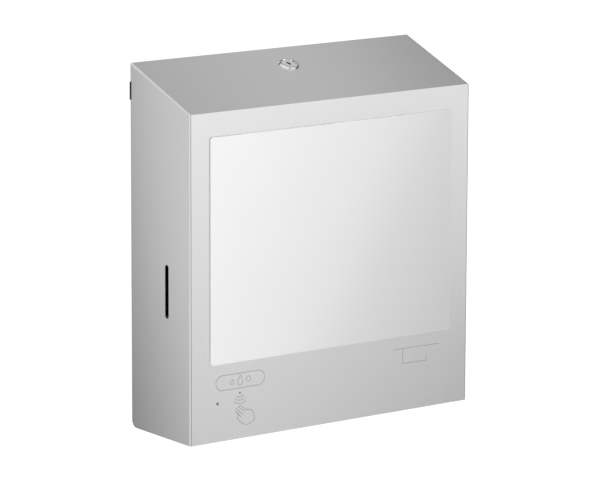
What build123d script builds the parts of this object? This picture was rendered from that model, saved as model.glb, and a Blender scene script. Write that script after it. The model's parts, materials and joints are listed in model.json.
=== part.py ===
# Wall-hung dispenser for paper towels and soap, in millimetres.
#
# A folded stainless hood hinges at its bottom rear edge and locks on its sloped top. Behind it, a back plate
# carries a towel magazine on the right, and on the left a soap tank over a motor-driven hose pump.
# +Z is up, +X is to the right and -Y is the front. The wall is the plane Y = 0, and the origin is the middle
# of the four wall screws. Names that end in _height measure up from the hood's lower edge.

from build123d import *
from math import acos, atan, cos, pi, radians, sin, tan
import os

os.makedirs("parts", exist_ok=True)

# Hood
hood_depth = 120.0
front_height = 382.0
rear_height = 427.0
hood_sheet = 1.2
fold_radius = 2.6
corner_radius = 2.2
hem_depth = 10.0
wall_gap = 1.0
hinge_rise = 9.0

# Level slot in the hood's left side, and the notch for the rubber plug behind it
slot_length = 62.6
slot_width = 7.0
slot_depth_in = 73.4
slot_height = 172.2
plug_below_top = 19.5
plug_length = 21.0
plug_depth = 1.2
plug_stand = 1.3
plug_play = 0.3
plug_bevel = 0.5

# Mirror
mirror_side_margin = 27.3
mirror_length = 263.3
mirror_drop = 28.0
mirror_glass = 1.5
mirror_bevel = 0.3
mirror_corner = 3.0
tape_thickness = 0.6
tape_width = 20.0
tape_inset = 12.0

# Status light lens
lens_from_left = 37.6
lens_height = 45.0
lens_radius = 1.7
lens_length = 5.0
lens_sunk = 0.6
lens_bevel = 0.3

# Lock, on a line square to the sloped top, its place measured down the slope from the wall
lock_left_of_middle = 4.1
lock_down_slope = 41.0
lock_flange_radius = 12.5
lock_flange_rise = 2.2
lock_ring_width = 3.0
barrel_radius = 10.5
barrel_flats = 19.5
barrel_length = 22.0
plug_radius = 8.6
plug_rise = 1.2
keyway_length = 6.3
keyway_width = 1.3
keyway_turn = 124.0
nut_across = 26.0
nut_thickness = 4.5
cam_reach = 26.0
cam_width = 16.0
cam_thickness = 2.5
cam_corner = 3.0
cam_square = 6.4
cam_screw_radius = 4.0
keeper_width = 18.0
keeper_play = 0.8
keeper_arm_gap = 8.0
keeper_below_cam = 5.0
keeper_hole_radius = 2.1

# Wall screws and back plate
screw_span_x = 260.0
screw_span_z = 150.0
screw_height = 245.0
screw_hole_radius = 3.25
plate_sheet = 1.2
plate_top_gap = 13.0
flange_gap = 1.6
flange_depth = 22.0
gusset_depth = 70.0
gusset_height = 60.0
ledge_height = 4.8
ledge_depth = 24.0

# Hinge at both bottom rear corners
pin_radius = 3.0
running_clearance = 0.05
bush_wall = 2.0
bush_rim = 3.5
bush_rim_thickness = 1.0
bush_length = 2.0
pin_past_bush = 0.4

# Base pan and towel magazine
side_room = 6.0
pan_sheet = 1.2
pan_front_gap = 6.0
pan_lip = 9.0
buffer_radius = 4.0
buffer_gap = 0.3
buffer_inset = 30.0
towel_width = 250.0
towel_play = 3.0
guide_sheet = 1.0
guide_front_gap = 5.8
guide_rear_height = 350.0
guide_front_height = 305.0
guide_return = 14.0
guide_bend = 2.0
mouth_length = 170.0
mouth_width = 38.0
mouth_depth_in = 60.0
mouth_corner = 12.0
ring_wall = 1.6
ring_rim = 4.0
ring_rim_thickness = 1.4
ring_below = 1.0

# Soap side: chassis, pump and gears
soap_width = 116.0
soap_to_guide = 8.0
pump_front_gap = 8.2
chassis_wall = 2.5
chassis_top_height = 131.8
gear_plate_sheet = 2.5
gear_module = 1.0
small_teeth = 10
large_teeth = 30
tooth_height = 0.8
gear_windows = 5
gear_window = 4.5
window_orbit = 9.0
gear_face = 5.0
gear_gap = 1.0
pressure_angle = 25.0
tooth_backlash = 0.08
tooth_sink = 0.3
rotor_from_right = 40.0
rotor_height = 74.0
motor_lean = 120.0
pump_plate_sheet = 3.0
pump_plate_margin = 28.0
pump_plate_past_motor = 14.0
pump_plate_corner = 12.0
spacer_radius = 3.0
shaft_radius = 3.0
shaft_bush_radius = 5.4
axle_radius = 2.0
motor_radius = 12.2
motor_length = 30.8
motor_shaft_radius = 1.15
motor_flats = 18.3
motor_shaft_hidden = 12.3
motor_boss_radius = 3.0
terminal_size = (0.8, 3.0)
terminal_length = 2.5

# Hose pump
roller_orbit = 14.0
roller_radius = 6.0
roller_length = 8.6
roller_pin_radius = 1.5
roller_count = 3
hose_squeeze = 3.0
hose_band_width = 8.2
hose_radius = 3.0
hose_sides = 12
hose_gap = 0.25
hose_channel_clearance = 0.3
race_clearance = 0.05
hose_bend = 8.0
hose_lead = 8.0
race_wall = 3.8
race_floor = 2.0
rotor_disc = 2.0
cover_thickness = 2.0
socket_height = 106.0
socket_length = 18.0
socket_radius = 6.0
socket_hose_seat = 2.0
socket_spigot_seat = 4.0
spigot_clearance = 0.1

# Soap tank
tank_height = 130.0
tank_wall = 2.0
tank_rear_gap = 12.0
tank_front_gap = 8.0
tank_corner = 8.0
tank_play = 0.3
lug_height = 8.0
spigot_radius = 3.0
spigot_bore = 1.8
spigot_grip = 10.0
tank_mouth_rim = 8.0
tank_mouth_front = 6.0
tank_mouth_to_knuckle = 2.0
lid_hinge_in = 44.0
lid_thickness = 2.0
lid_overlap = 1.5
lid_grip_width = 5.0
lid_side = 4.0
lid_hinge_gap = 0.8
lid_rim_inset = 10.0
lid_ear_gap = 0.4
lid_ear_length = 8.0
lid_pin_length = 4.0
lid_pin_radius = 1.5
knuckle_radius = 3.2

# Nozzle and sensor
nozzle_radius = 6.0
nozzle_collar = 9.0
nozzle_drop = 4.3
nozzle_height = 22.0
nozzle_collar_thickness = 2.5
nozzle_grip = 4.0
nozzle_bevel = 1.5
nozzle_wall = 2.0
valve_recess = 6.0
valve_flange = 1.5
valve_beak = 5.0
sensor_size = (24.0, 16.0, 15.0)
sensor_offset = 30.0
sensor_lens_radius = 3.0
sensor_lens_pitch = 11.0
lens_drop = 0.6

# Electrics: board parts are placed from the board's lower left corner
board_size = (98.0, 44.0, 1.6)
board_height = 32.0
board_stand = 12.0
board_post = 6.0
chip_at = (37.0, 24.0)
chip_size = (14.0, 10.0)
relay_at = (67.0, 14.0)
relay_size = (8.0, 6.0)
chip_thickness = 1.6
can_at = (79.0, 30.0)
can_radius = 4.0
can_length = 11.0
plug_at = (13.0, 20.0)
plug_block = (6.0, 20.0)
plug_block_depth = 7.0
rocker_tilt = 10.0
rocker_pin_radius = 1.0
rocker_to_bezel = 2.6
rocker_side_gap = 2.0
rocker_pin_end_gap = 0.7
switch_bezel = 1.5
switch_length = 12.0
switch_floor = 4.0
switch_size = (15.0, 20.0)
switch_height = 30.0
switch_inset = 15.0
cell_radius = 7.1
cell_length = 50.0
cell_pitch = 15.2
cell_end_gap = 0.9
cell_rear_gap = 0.2
contact_sheet = 0.6
contact_margin = 3.0
battery_wall = 2.0
battery_below_top = 8.6
door_thickness = 2.0
door_play = 0.4
ear_size = 4.4
door_pin_radius = 1.2
door_knuckle_radius = 2.0
door_drop = 1.0
ear_inset = 8.0
ear_width = 4.0
ear_side_gap = 0.4
pin_end_gap = 0.5

# Places worked out from the sizes above
hood_width = 2 * (hood_sheet + flange_gap + plate_sheet + side_room)
hood_width += soap_width + soap_to_guide + towel_width + 2 * towel_play
mirror_width = hood_width - 2 * mirror_side_margin
lens_x = lens_from_left - hood_width / 2
plate_top_height = rear_height - plate_top_gap
plug_height = plate_top_height - plug_below_top
pan_depth = hood_depth - pan_front_gap
guide_depth = pan_depth - plate_sheet - guide_front_gap
tank_front = hood_depth - tank_front_gap
low = -screw_height
front = -hood_depth
rear = -wall_gap
slope = atan((rear_height - front_height) / hood_depth)
side = hood_width / 2
inner_side = side - hood_sheet
hinge_y = -(wall_gap + hinge_rise)
hinge_z = low + hinge_rise
flange_out = inner_side - flange_gap
flange_in = flange_out - plate_sheet
pan_top = low + ledge_height + plate_sheet + pan_sheet
pan_bottom = pan_top - pan_sheet
soap_left = -flange_in + side_room
soap_right = soap_left + soap_width
soap_x = (soap_left + soap_right) / 2
guide_left = soap_right + soap_to_guide
guide_right = guide_left + towel_width + 2 * towel_play
towel_x = (guide_left + guide_right) / 2


def top_edge(y, inset=0.0):
    """Height in the part's frame of the hood's sloped top at depth y, drawn in square to the sheet."""
    return low + front_height + (y - front) * tan(slope) - inset / cos(slope)


def write(piece, label):
    """Name one finished piece and write its STEP file."""
    piece.part.label = label
    export_step(piece.part, "parts/" + label + ".step")


# Hood: the hollow first, then the sheet round it
with BuildPart() as hood_hollow:
    inner_front = front + hood_sheet
    with BuildSketch(Plane.YZ.offset(-inner_side)):
        with BuildLine():
            Polyline(
                (hinge_rise, low - hinge_rise),
                (front + hem_depth, low - hinge_rise),
                (front + hem_depth, low + hood_sheet),
                (inner_front, low + hood_sheet),
                (inner_front, top_edge(inner_front, hood_sheet)),
                (hinge_rise, top_edge(hinge_rise, hood_sheet)),
                close=True,
            )
        hollow_face = make_face()
        folds = [v for v in hollow_face.vertices() if abs(v.Y - inner_front) < hood_sheet / 2]
        fillet(folds, radius=fold_radius - hood_sheet)
    extrude(amount=2 * inner_side)
    hollow_sides = hood_hollow.faces().sort_by(Axis.X)
    hollow_corners = [
        edge
        for face in (hollow_sides[0], hollow_sides[-1])
        for edge in face.edges()
        if edge.center().Z > low + front_height / 3 and edge.center().Y < hinge_rise - 1
    ]
    fillet(hollow_corners, radius=corner_radius - hood_sheet)

lock_x = -lock_left_of_middle
lock_y = -lock_down_slope * cos(slope)
lock_z = top_edge(lock_y)
lock_plane = Plane(origin=(lock_x, lock_y, lock_z), x_dir=(1, 0, 0), z_dir=(0, -sin(slope), cos(slope)))

with BuildPart() as hood:
    with BuildSketch(Plane.YZ.offset(-side)):
        with BuildLine():
            Polyline(
                (rear, low),
                (front, low),
                (front, low + front_height),
                (rear, top_edge(rear)),
                close=True,
            )
        outline = make_face()
        front_corners = [v for v in outline.vertices() if abs(v.Y - front) < hood_sheet]
        fillet(front_corners, radius=fold_radius)
    extrude(amount=hood_width)
    hood_sides = hood.faces().sort_by(Axis.X)
    hood_corners = [
        edge
        for face in (hood_sides[0], hood_sides[-1])
        for edge in face.edges()
        if edge.center().Z > low + front_height / 3 and edge.center().Y < rear - 1
    ]
    fillet(hood_corners, radius=corner_radius)
    add(hood_hollow.part, mode=Mode.SUBTRACT)
    swing_corners = [
        edge
        for edge in hood.edges().filter_by(Axis.X)
        if edge.length < 2 * hood_sheet and abs(edge.center().Y - rear) < 0.1 and edge.center().Z < low + 0.1
    ]
    fillet(swing_corners, radius=hinge_rise)
    with BuildSketch(Plane.YZ.offset(-side - hood_sheet)):
        with Locations((-slot_depth_in, low + slot_height)):
            SlotOverall(slot_length, slot_width, rotation=90)
        with Locations((rear, low + plug_height)):
            Rectangle(2 * (plug_depth + plug_play) - wall_gap, plug_length + 2 * plug_play)
    extrude(amount=3 * hood_sheet, mode=Mode.SUBTRACT)
    with BuildSketch(lock_plane.offset(-3 * hood_sheet)):
        Circle(barrel_radius + spigot_clearance)
        Rectangle(barrel_flats + 2 * spigot_clearance, 4 * barrel_radius, mode=Mode.INTERSECT)
    extrude(amount=6 * hood_sheet, mode=Mode.SUBTRACT)
    with BuildSketch(Plane.XZ.offset(-front - 2 * hood_sheet)):
        with Locations((lens_x, low + lens_height)):
            Circle(lens_radius)
    extrude(amount=4 * hood_sheet, mode=Mode.SUBTRACT)
write(hood, "hood")

# Mirror and the foam tape that holds it
mirror_z = low + front_height - mirror_drop - mirror_length / 2
tape_face = Plane.XZ.offset(-front)
with BuildPart() as mirror_tape:
    with BuildSketch(tape_face):
        with GridLocations(mirror_width - tape_width - 2 * tape_inset, 0, 2, 1):
            with Locations((0, mirror_z)):
                Rectangle(tape_width, mirror_length - 2 * tape_inset)
        with Locations((0, mirror_z)):
            Rectangle(tape_width, mirror_length - 2 * tape_inset)
    extrude(amount=tape_thickness)
write(mirror_tape, "mirror_tape")

with BuildPart() as mirror_glass_plate:
    with BuildSketch(tape_face.offset(tape_thickness)):
        with Locations((0, mirror_z)):
            RectangleRounded(mirror_width, mirror_length, mirror_corner)
    extrude(amount=mirror_glass)
    chamfer(mirror_glass_plate.faces().sort_by(Axis.Y)[0].edges(), length=mirror_bevel)
write(mirror_glass_plate, "mirror")

# Status light lens, pressed in the hood's front
with BuildPart() as status_lens:
    with BuildSketch(Plane.XZ.offset(-front + lens_sunk)):
        with Locations((lens_x, low + lens_height)):
            Circle(lens_radius)
    extrude(amount=-lens_length)
    chamfer(status_lens.faces().sort_by(Axis.Y)[0].edges(), length=lens_bevel)
write(status_lens, "status_lens")

# Lock: a barrel with two flats, held by a nut, and a plug that turns a cam
lock_bore = plug_radius + running_clearance
lock_section = Plane(origin=lock_plane.origin, x_dir=lock_plane.x_dir, z_dir=lock_plane.y_dir)
with BuildPart() as lock_body:
    with BuildSketch(lock_section):
        with BuildLine():
            Polyline(
                (lock_bore, 0),
                (lock_flange_radius, 0),
                (lock_flange_radius, -lock_flange_rise / 3),
                (lock_flange_radius - lock_ring_width / 3, -lock_flange_rise * 0.85),
                (lock_flange_radius - lock_ring_width * 2 / 3, -lock_flange_rise),
                (lock_flange_radius - lock_ring_width, -lock_flange_rise * 0.9),
                (lock_bore, -plug_rise),
                close=True,
            )
        make_face()
    revolve(axis=Axis(lock_plane.origin, lock_plane.z_dir))
    with BuildSketch(lock_plane):
        Circle(barrel_radius)
        Rectangle(barrel_flats, 4 * barrel_radius, mode=Mode.INTERSECT)
        Circle(lock_bore, mode=Mode.SUBTRACT)
    extrude(amount=-barrel_length)
write(lock_body, "lock_body")

with BuildPart() as lock_plug:
    with BuildSketch(lock_plane.offset(-barrel_length)):
        Circle(plug_radius)
    extrude(amount=barrel_length + plug_rise)
    with BuildSketch(lock_plane.offset(-barrel_length - cam_thickness)):
        Rectangle(cam_square, cam_square)
    extrude(amount=cam_thickness)
    with BuildSketch(lock_plane.offset(lock_flange_rise)):
        Rectangle(keyway_length, keyway_width, rotation=keyway_turn)
    extrude(amount=-lock_flange_rise - plug_rise, mode=Mode.SUBTRACT)
write(lock_plug, "lock_plug")

with BuildPart() as lock_nut:
    with BuildSketch(lock_plane.offset(-hood_sheet)):
        RegularPolygon(nut_across / 2, 6, major_radius=False)
        Circle(barrel_radius + spigot_clearance, mode=Mode.SUBTRACT)
    extrude(amount=-nut_thickness)
write(lock_nut, "lock_nut")

cam_plane = lock_plane.offset(-barrel_length - cam_thickness)
with BuildPart() as lock_cam:
    with BuildSketch(cam_plane):
        Circle(cam_width / 2)
        with Locations((0, cam_reach / 2 - 1)):
            RectangleRounded(cam_width, cam_reach + 2, cam_corner)
        Rectangle(cam_square, cam_square, mode=Mode.SUBTRACT)
    extrude(amount=cam_thickness)
write(lock_cam, "lock_cam")

with BuildPart() as cam_screw:
    with BuildSketch(cam_plane):
        RegularPolygon(cam_screw_radius, 6)
    extrude(amount=-cam_screw_radius / 2)
write(cam_screw, "cam_screw")

# Lock keeper: its tab stands in front of the turned cam
cam_front_y = lock_y + barrel_length * sin(slope) - cam_width / 2 * cos(slope)
cam_low_z = lock_z - (barrel_length + cam_thickness) * cos(slope) - cam_width / 2 * sin(slope)
tab_y = cam_front_y - keeper_play
arm_x = lock_x + cam_reach + keeper_arm_gap
with BuildPart() as lock_keeper:
    with BuildSketch(Plane.XY.offset(cam_low_z - keeper_below_cam)):
        with BuildLine():
            Polyline(
                (arm_x - keeper_width, tab_y),
                (arm_x - keeper_width, tab_y - plate_sheet),
                (arm_x + plate_sheet, tab_y - plate_sheet),
                (arm_x + plate_sheet, -2 * plate_sheet),
                (arm_x + keeper_width, -2 * plate_sheet),
                (arm_x + keeper_width, -plate_sheet),
                (arm_x, -plate_sheet),
                (arm_x, tab_y),
                close=True,
            )
        make_face()
    extrude(amount=keeper_width)
    with BuildSketch(Plane.XZ.offset(plate_sheet)):
        with Locations((arm_x + keeper_width * 0.6, cam_low_z - keeper_below_cam + keeper_width / 2)):
            Circle(keeper_hole_radius)
    extrude(amount=plate_sheet, mode=Mode.SUBTRACT)
    fillet(lock_keeper.edges().filter_by(Axis.Y).group_by(Axis.X)[-1], radius=2)
write(lock_keeper, "lock_keeper")

# Back plate: sheet with two side flanges that widen to gussets, and a ledge for the pan
ledge = low + ledge_height
with BuildPart() as back_plate:
    with BuildSketch(Plane.XZ):
        with BuildLine():
            Polyline(
                (-flange_out, ledge),
                (flange_out, ledge),
                (flange_out, low + plate_top_height),
                (-flange_out, low + plate_top_height),
                close=True,
            )
        make_face()
        with Locations((0, 0)):
            with GridLocations(screw_span_x, screw_span_z, 2, 2):
                Circle(screw_hole_radius, mode=Mode.SUBTRACT)
    extrude(amount=plate_sheet)
    for x in (-flange_out, flange_in):
        with BuildSketch(Plane.YZ.offset(x)):
            with BuildLine():
                Polyline(
                    (0, ledge),
                    (-gusset_depth, ledge),
                    (-gusset_depth, ledge + gusset_height / 4),
                    (-flange_depth, low + gusset_height),
                    (-flange_depth, low + plate_top_height - flange_depth),
                    (0, low + plate_top_height),
                    close=True,
                )
            make_face()
            with Locations((hinge_y, hinge_z)):
                Circle(pin_radius + running_clearance + bush_wall, mode=Mode.SUBTRACT)
        extrude(amount=plate_sheet)
    with BuildSketch(Plane.XY.offset(ledge)):
        with Locations((0, -ledge_depth / 2)):
            Rectangle(2 * (flange_in - ledge_depth / 2), ledge_depth)
    extrude(amount=plate_sheet)
    fillet(back_plate.edges().filter_by(Axis.Z).group_by(Axis.Y)[-1], radius=1)
write(back_plate, "back_plate")

# Hinge: pins welded in the hood's sides, bushes in the back plate's flanges
bush_inner = flange_in - bush_length
with BuildPart() as hinge_pins:
    for sign in (-1, 1):
        with BuildSketch(Plane.YZ.offset(sign * inner_side)):
            with Locations((hinge_y, hinge_z)):
                Circle(pin_radius)
        extrude(amount=sign * (bush_inner - pin_past_bush - inner_side))
write(hinge_pins, "hinge_pins")

with BuildPart() as hinge_bushes:
    for sign in (-1, 1):
        with BuildSketch(Plane.YZ.offset(sign * flange_out)):
            with Locations((hinge_y, hinge_z)):
                RegularPolygon(pin_radius + running_clearance + bush_rim, 8)
        extrude(amount=sign * bush_rim_thickness)
        with BuildSketch(Plane.YZ.offset(sign * flange_out)):
            with Locations((hinge_y, hinge_z)):
                Circle(pin_radius + running_clearance + bush_wall)
        extrude(amount=sign * (bush_inner - flange_out))
        with BuildSketch(Plane.YZ.offset(sign * bush_inner)):
            with Locations((hinge_y, hinge_z)):
                Circle(pin_radius + running_clearance)
        extrude(amount=sign * (flange_out + bush_rim_thickness - bush_inner), mode=Mode.SUBTRACT)
write(hinge_bushes, "hinge_bushes")

# Rubber plug in the notch at the hood's rear edge
with BuildPart() as cable_plug:
    with BuildSketch(Plane.YZ.offset(-flange_out)):
        with Locations(((rear - plug_depth) / 2, low + plug_height)):
            Rectangle(plug_depth, plug_length)
    extrude(amount=-(side - flange_out + plug_stand))
    chamfer(cable_plug.faces().sort_by(Axis.X)[0].edges(), length=plug_bevel)
write(cable_plug, "cable_plug")

# Base pan with the towel mouth
nozzle_x = soap_right - rotor_from_right - hose_lead - hose_bend
mouth_y = -mouth_depth_in
ring_length = mouth_length + 2 * ring_wall
ring_width = mouth_width + 2 * ring_wall
ring_corner = mouth_corner + ring_wall
pan_rear = -plate_sheet
notch = hinge_y - (pin_radius + running_clearance + bush_wall) - 2
sensor_x = nozzle_x - sensor_offset
cover_y = front + pump_front_gap + cover_thickness
hose_y = cover_y + gear_gap + rotor_disc + roller_length / 2
race_y = hose_y + roller_length / 2 + gear_gap / 2 + rotor_disc + race_floor
pump_plate_y = race_y + pump_plate_sheet
gear_front = pump_plate_y + 2 * gear_face + 3 * gear_gap
gear_plate_y = gear_front + gear_plate_sheet
chassis_depth = -plate_sheet - gear_plate_y
with BuildPart() as base_pan:
    with BuildSketch(Plane.XY.offset(pan_bottom)):
        with BuildLine():
            Polyline(
                (-flange_in, -pan_depth),
                (flange_in, -pan_depth),
                (flange_in, notch),
                (bush_inner - 2, notch),
                (bush_inner - 2, pan_rear),
                (2 - bush_inner, pan_rear),
                (2 - bush_inner, notch),
                (-flange_in, notch),
                close=True,
            )
        make_face()
    extrude(amount=pan_sheet)
    with BuildSketch(Plane.YZ.offset(-flange_in)):
        with Locations((pan_sheet / 2 - pan_depth, pan_bottom + (pan_lip + pan_sheet) / 2)):
            Rectangle(pan_sheet, pan_lip + pan_sheet)
    extrude(amount=2 * flange_in)
    fillet(base_pan.edges().filter_by(Axis.X).group_by(Axis.Y)[0].sort_by(Axis.Z)[0:1], radius=1)
    with BuildSketch(Plane.XY.offset(pan_bottom)):
        with Locations((towel_x, mouth_y)):
            RectangleRounded(ring_length, ring_width, ring_corner)
        with Locations((nozzle_x, hose_y)):
            Circle(nozzle_radius + spigot_clearance)
        with Locations((sensor_x, hose_y)):
            with GridLocations(sensor_lens_pitch, 0, 2, 1):
                Circle(sensor_lens_radius)
    extrude(amount=pan_sheet, mode=Mode.SUBTRACT)
write(base_pan, "base_pan")

# Ring that lines the towel mouth, its rim lying on the pan
with BuildPart() as mouth_ring:
    with BuildSketch(Plane.XY.offset(pan_bottom - ring_below)):
        with Locations((towel_x, mouth_y)):
            RectangleRounded(ring_length, ring_width, ring_corner)
    extrude(amount=ring_below + pan_sheet)
    with BuildSketch(Plane.XY.offset(pan_top)):
        with Locations((towel_x, mouth_y)):
            RectangleRounded(ring_length + 2 * ring_rim, ring_width + 2 * ring_rim, ring_corner + ring_rim)
    extrude(amount=ring_rim_thickness)
    with BuildSketch(Plane.XY.offset(pan_bottom - ring_below)):
        with Locations((towel_x, mouth_y)):
            RectangleRounded(mouth_length, mouth_width, mouth_corner)
    extrude(amount=ring_below + pan_sheet + ring_rim_thickness, mode=Mode.SUBTRACT)
write(mouth_ring, "mouth_ring")

# Rubber buffers between the pan's lip and the hood's front
with BuildPart() as hood_buffers:
    with BuildSketch(Plane.XZ.offset(pan_depth)):
        with Locations((0, pan_bottom + (pan_lip + pan_sheet) / 2)):
            with GridLocations(2 * (flange_in - buffer_inset), 0, 2, 1):
                Circle(buffer_radius)
    extrude(amount=hood_depth - hood_sheet - buffer_gap - pan_depth)
write(hood_buffers, "hood_buffers")

# Towel guides: one bent sheet on each side of the stack, mirror images
for name, sign, inner in (("left", -1, guide_left), ("right", 1, guide_right)):
    with BuildPart() as towel_guide:
        with BuildSketch(Plane.XY.offset(pan_top)):
            guide_x = inner + sign * (guide_sheet - guide_return / 2)
            with Locations((guide_x, pan_rear - guide_depth / 2)):
                Rectangle(guide_return, guide_depth)
        extrude(amount=low + guide_rear_height - pan_top)
        web_edges = [
            edge
            for edge in towel_guide.edges().filter_by(Axis.Z)
            if abs(edge.center().X - inner - sign * guide_sheet) < 0.1
        ]
        fillet(web_edges, radius=guide_bend)
        with BuildSketch(Plane.XY.offset(pan_top)):
            with Locations((inner - sign * guide_return / 2, pan_rear - guide_depth / 2)):
                Rectangle(guide_return, guide_depth - 2 * guide_sheet)
        extrude(amount=low + guide_rear_height - pan_top, mode=Mode.SUBTRACT)
        with BuildSketch(Plane.YZ.offset(inner - 2 * guide_return)):
            with BuildLine():
                Polyline(
                    (pan_rear - guide_depth, low + guide_front_height),
                    (pan_rear - guide_depth / 2, low + guide_rear_height),
                    (pan_rear - guide_depth, low + guide_rear_height),
                    close=True,
                )
            make_face()
        extrude(amount=4 * guide_return, mode=Mode.SUBTRACT)
    write(towel_guide, "towel_guide_" + name)

# Pump chassis: a moulded tray open to the front, with lugs that locate the tank
chassis_top = low + chassis_top_height
chassis_rear = -plate_sheet
with BuildPart() as pump_chassis:
    with BuildSketch(Plane.XY.offset(pan_top)):
        with Locations((soap_x, (chassis_rear + gear_plate_y) / 2)):
            Rectangle(soap_width, chassis_depth)
    extrude(amount=chassis_top - pan_top)
    fillet(pump_chassis.edges().filter_by(Axis.Y), radius=chassis_wall)
    with BuildSketch(Plane.XZ.offset(-gear_plate_y)):
        with Locations((soap_x, (pan_top + chassis_top) / 2)):
            Rectangle(soap_width - 2 * chassis_wall, chassis_top - pan_top - 2 * chassis_wall)
    extrude(amount=-(chassis_depth - chassis_wall), mode=Mode.SUBTRACT)
    with BuildSketch(Plane.XY.offset(chassis_top - chassis_wall)):
        with Locations((soap_x, (chassis_rear + gear_plate_y) / 2)):
            with GridLocations(soap_width - chassis_wall, 0, 2, 1):
                Rectangle(chassis_wall, chassis_depth / 2)
    extrude(amount=chassis_wall + lug_height)
    with BuildSketch(Plane.XZ.offset(-chassis_rear + chassis_wall)):
        with Locations((soap_x, low + board_height + board_size[1] / 2)):
            with GridLocations(board_size[0] - board_post, board_size[1] - board_post, 2, 2):
                Rectangle(board_post, board_post)
    extrude(amount=board_stand)
write(pump_chassis, "pump_chassis")

# Control board on its four posts
board_back = -chassis_rear + chassis_wall + board_stand
with BuildPart() as control_board:
    with BuildSketch(Plane.XZ.offset(board_back)):
        with Locations((soap_x, low + board_height + board_size[1] / 2)):
            Rectangle(board_size[0], board_size[1])
    extrude(amount=board_size[2])
    board_front = board_back + board_size[2]
    board_left = soap_x - board_size[0] / 2
    with BuildSketch(Plane.XZ.offset(board_front)):
        with Locations((board_left + chip_at[0], low + board_height + chip_at[1])):
            Rectangle(chip_size[0], chip_size[1])
        with Locations((board_left + relay_at[0], low + board_height + relay_at[1])):
            Rectangle(relay_size[0], relay_size[1])
    extrude(amount=chip_thickness)
    with BuildSketch(Plane.XZ.offset(board_front)):
        with Locations((board_left + can_at[0], low + board_height + can_at[1])):
            Circle(can_radius)
    extrude(amount=can_length)
    with BuildSketch(Plane.XZ.offset(board_front)):
        with Locations((board_left + plug_at[0], low + board_height + plug_at[1])):
            Rectangle(plug_block[0], plug_block[1])
    extrude(amount=plug_block_depth)
write(control_board, "control_board")

# Gear train, from the motor's pinion to the pump rotor's gear
pitch_small = gear_module * small_teeth / 2
pitch_large = gear_module * large_teeth / 2
centre_distance = pitch_small + pitch_large
rotor_x = soap_right - rotor_from_right
rotor_z = low + rotor_height
idler_x = rotor_x - centre_distance
motor_x = idler_x + centre_distance * cos(radians(motor_lean))
motor_z = rotor_z + centre_distance * sin(radians(motor_lean))
layer_1 = gear_front - gear_gap
layer_2 = layer_1 - gear_face - gear_gap


def involute(angle):
    """Involute function of a pressure angle in radians."""
    return tan(angle) - angle


def draw_gear(teeth, at, tooth_angle):
    """Draw a stub-toothed involute gear in the current sketch, one tooth's middle at tooth_angle degrees."""
    pitch = gear_module * teeth / 2
    base = pitch * cos(radians(pressure_angle))
    root = pitch - gear_module
    tip = pitch + tooth_height * gear_module
    start = max(base, root)
    flank = []
    for step in range(3):
        r = start + (tip - start) * step / 2
        half = pi / (2 * teeth) - tooth_backlash / (2 * pitch) + involute(radians(pressure_angle))
        half -= involute(acos(min(1.0, base / r)))
        flank.append((r, half))
    flank[0] = (root - tooth_sink, flank[0][1])
    outline_points = [(r * cos(a), r * sin(a)) for r, a in flank]
    outline_points += [(r * cos(a), -r * sin(a)) for r, a in reversed(flank)]
    with Locations(at):
        Circle(root)
    with Locations(at):
        with PolarLocations(0, teeth, start_angle=tooth_angle):
            Polygon(*outline_points, align=None)


with BuildPart() as gear_plate:
    with BuildSketch(Plane.XZ.offset(-gear_plate_y)):
        with Locations((soap_x, (pan_top + chassis_top) / 2)):
            Rectangle(soap_width - 2 * chassis_wall / 3, chassis_top - pan_top - 2 * chassis_wall / 3)
        with Locations((rotor_x, rotor_z)):
            RegularPolygon(shaft_bush_radius, 6, mode=Mode.SUBTRACT)
        with Locations((idler_x, rotor_z)):
            Circle(axle_radius, mode=Mode.SUBTRACT)
        with Locations((motor_x, motor_z)):
            Circle(motor_boss_radius + spigot_clearance, mode=Mode.SUBTRACT)
        with Locations((soap_left + switch_inset, low + switch_height)):
            Rectangle(switch_size[0], switch_size[1], mode=Mode.SUBTRACT)
    extrude(amount=gear_plate_sheet)
write(gear_plate, "gear_plate")

plate_left = motor_x - pump_plate_past_motor
plate_right = rotor_x + pump_plate_margin
plate_bottom = rotor_z - pump_plate_margin
plate_top = low + socket_height + socket_length
post_left = plate_left + spacer_radius + 1
post_right = plate_right - spacer_radius - 1
post_low = plate_bottom + spacer_radius + 1
post_high = rotor_z + pump_plate_margin
post_places = ((post_left, post_low), (post_right, post_low), (post_left, post_high), (post_right, post_high))
with BuildPart() as plate_spacers:
    with BuildSketch(Plane.XZ.offset(-gear_front)):
        with Locations(*post_places):
            RegularPolygon(spacer_radius, 6)
    extrude(amount=gear_front - pump_plate_y)
write(plate_spacers, "plate_spacers")

with BuildPart() as pump_plate:
    with BuildSketch(Plane.XZ.offset(-pump_plate_y)):
        with BuildLine():
            Polyline(
                (plate_left, plate_bottom),
                (plate_right, plate_bottom),
                (plate_right, plate_top - pump_plate_corner),
                (plate_right - pump_plate_corner, plate_top),
                (plate_left + pump_plate_corner, plate_top),
                (plate_left, plate_top - pump_plate_corner),
                close=True,
            )
        make_face()
        with Locations((rotor_x, rotor_z)):
            RegularPolygon(shaft_bush_radius, 6, mode=Mode.SUBTRACT)
        with Locations((idler_x, rotor_z)):
            Circle(axle_radius, mode=Mode.SUBTRACT)
    extrude(amount=pump_plate_sheet)
write(pump_plate, "pump_plate")

# Bushes for the rotor shaft, one in each plate, six-sided so that they cannot turn
with BuildPart() as shaft_bushes:
    for y, thickness in ((gear_plate_y, gear_plate_sheet), (pump_plate_y, pump_plate_sheet)):
        with BuildSketch(Plane.XZ.offset(-y)):
            with Locations((rotor_x, rotor_z)):
                RegularPolygon(shaft_bush_radius, 6)
                Circle(shaft_radius + running_clearance, mode=Mode.SUBTRACT)
        extrude(amount=thickness)
write(shaft_bushes, "shaft_bushes")

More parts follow.
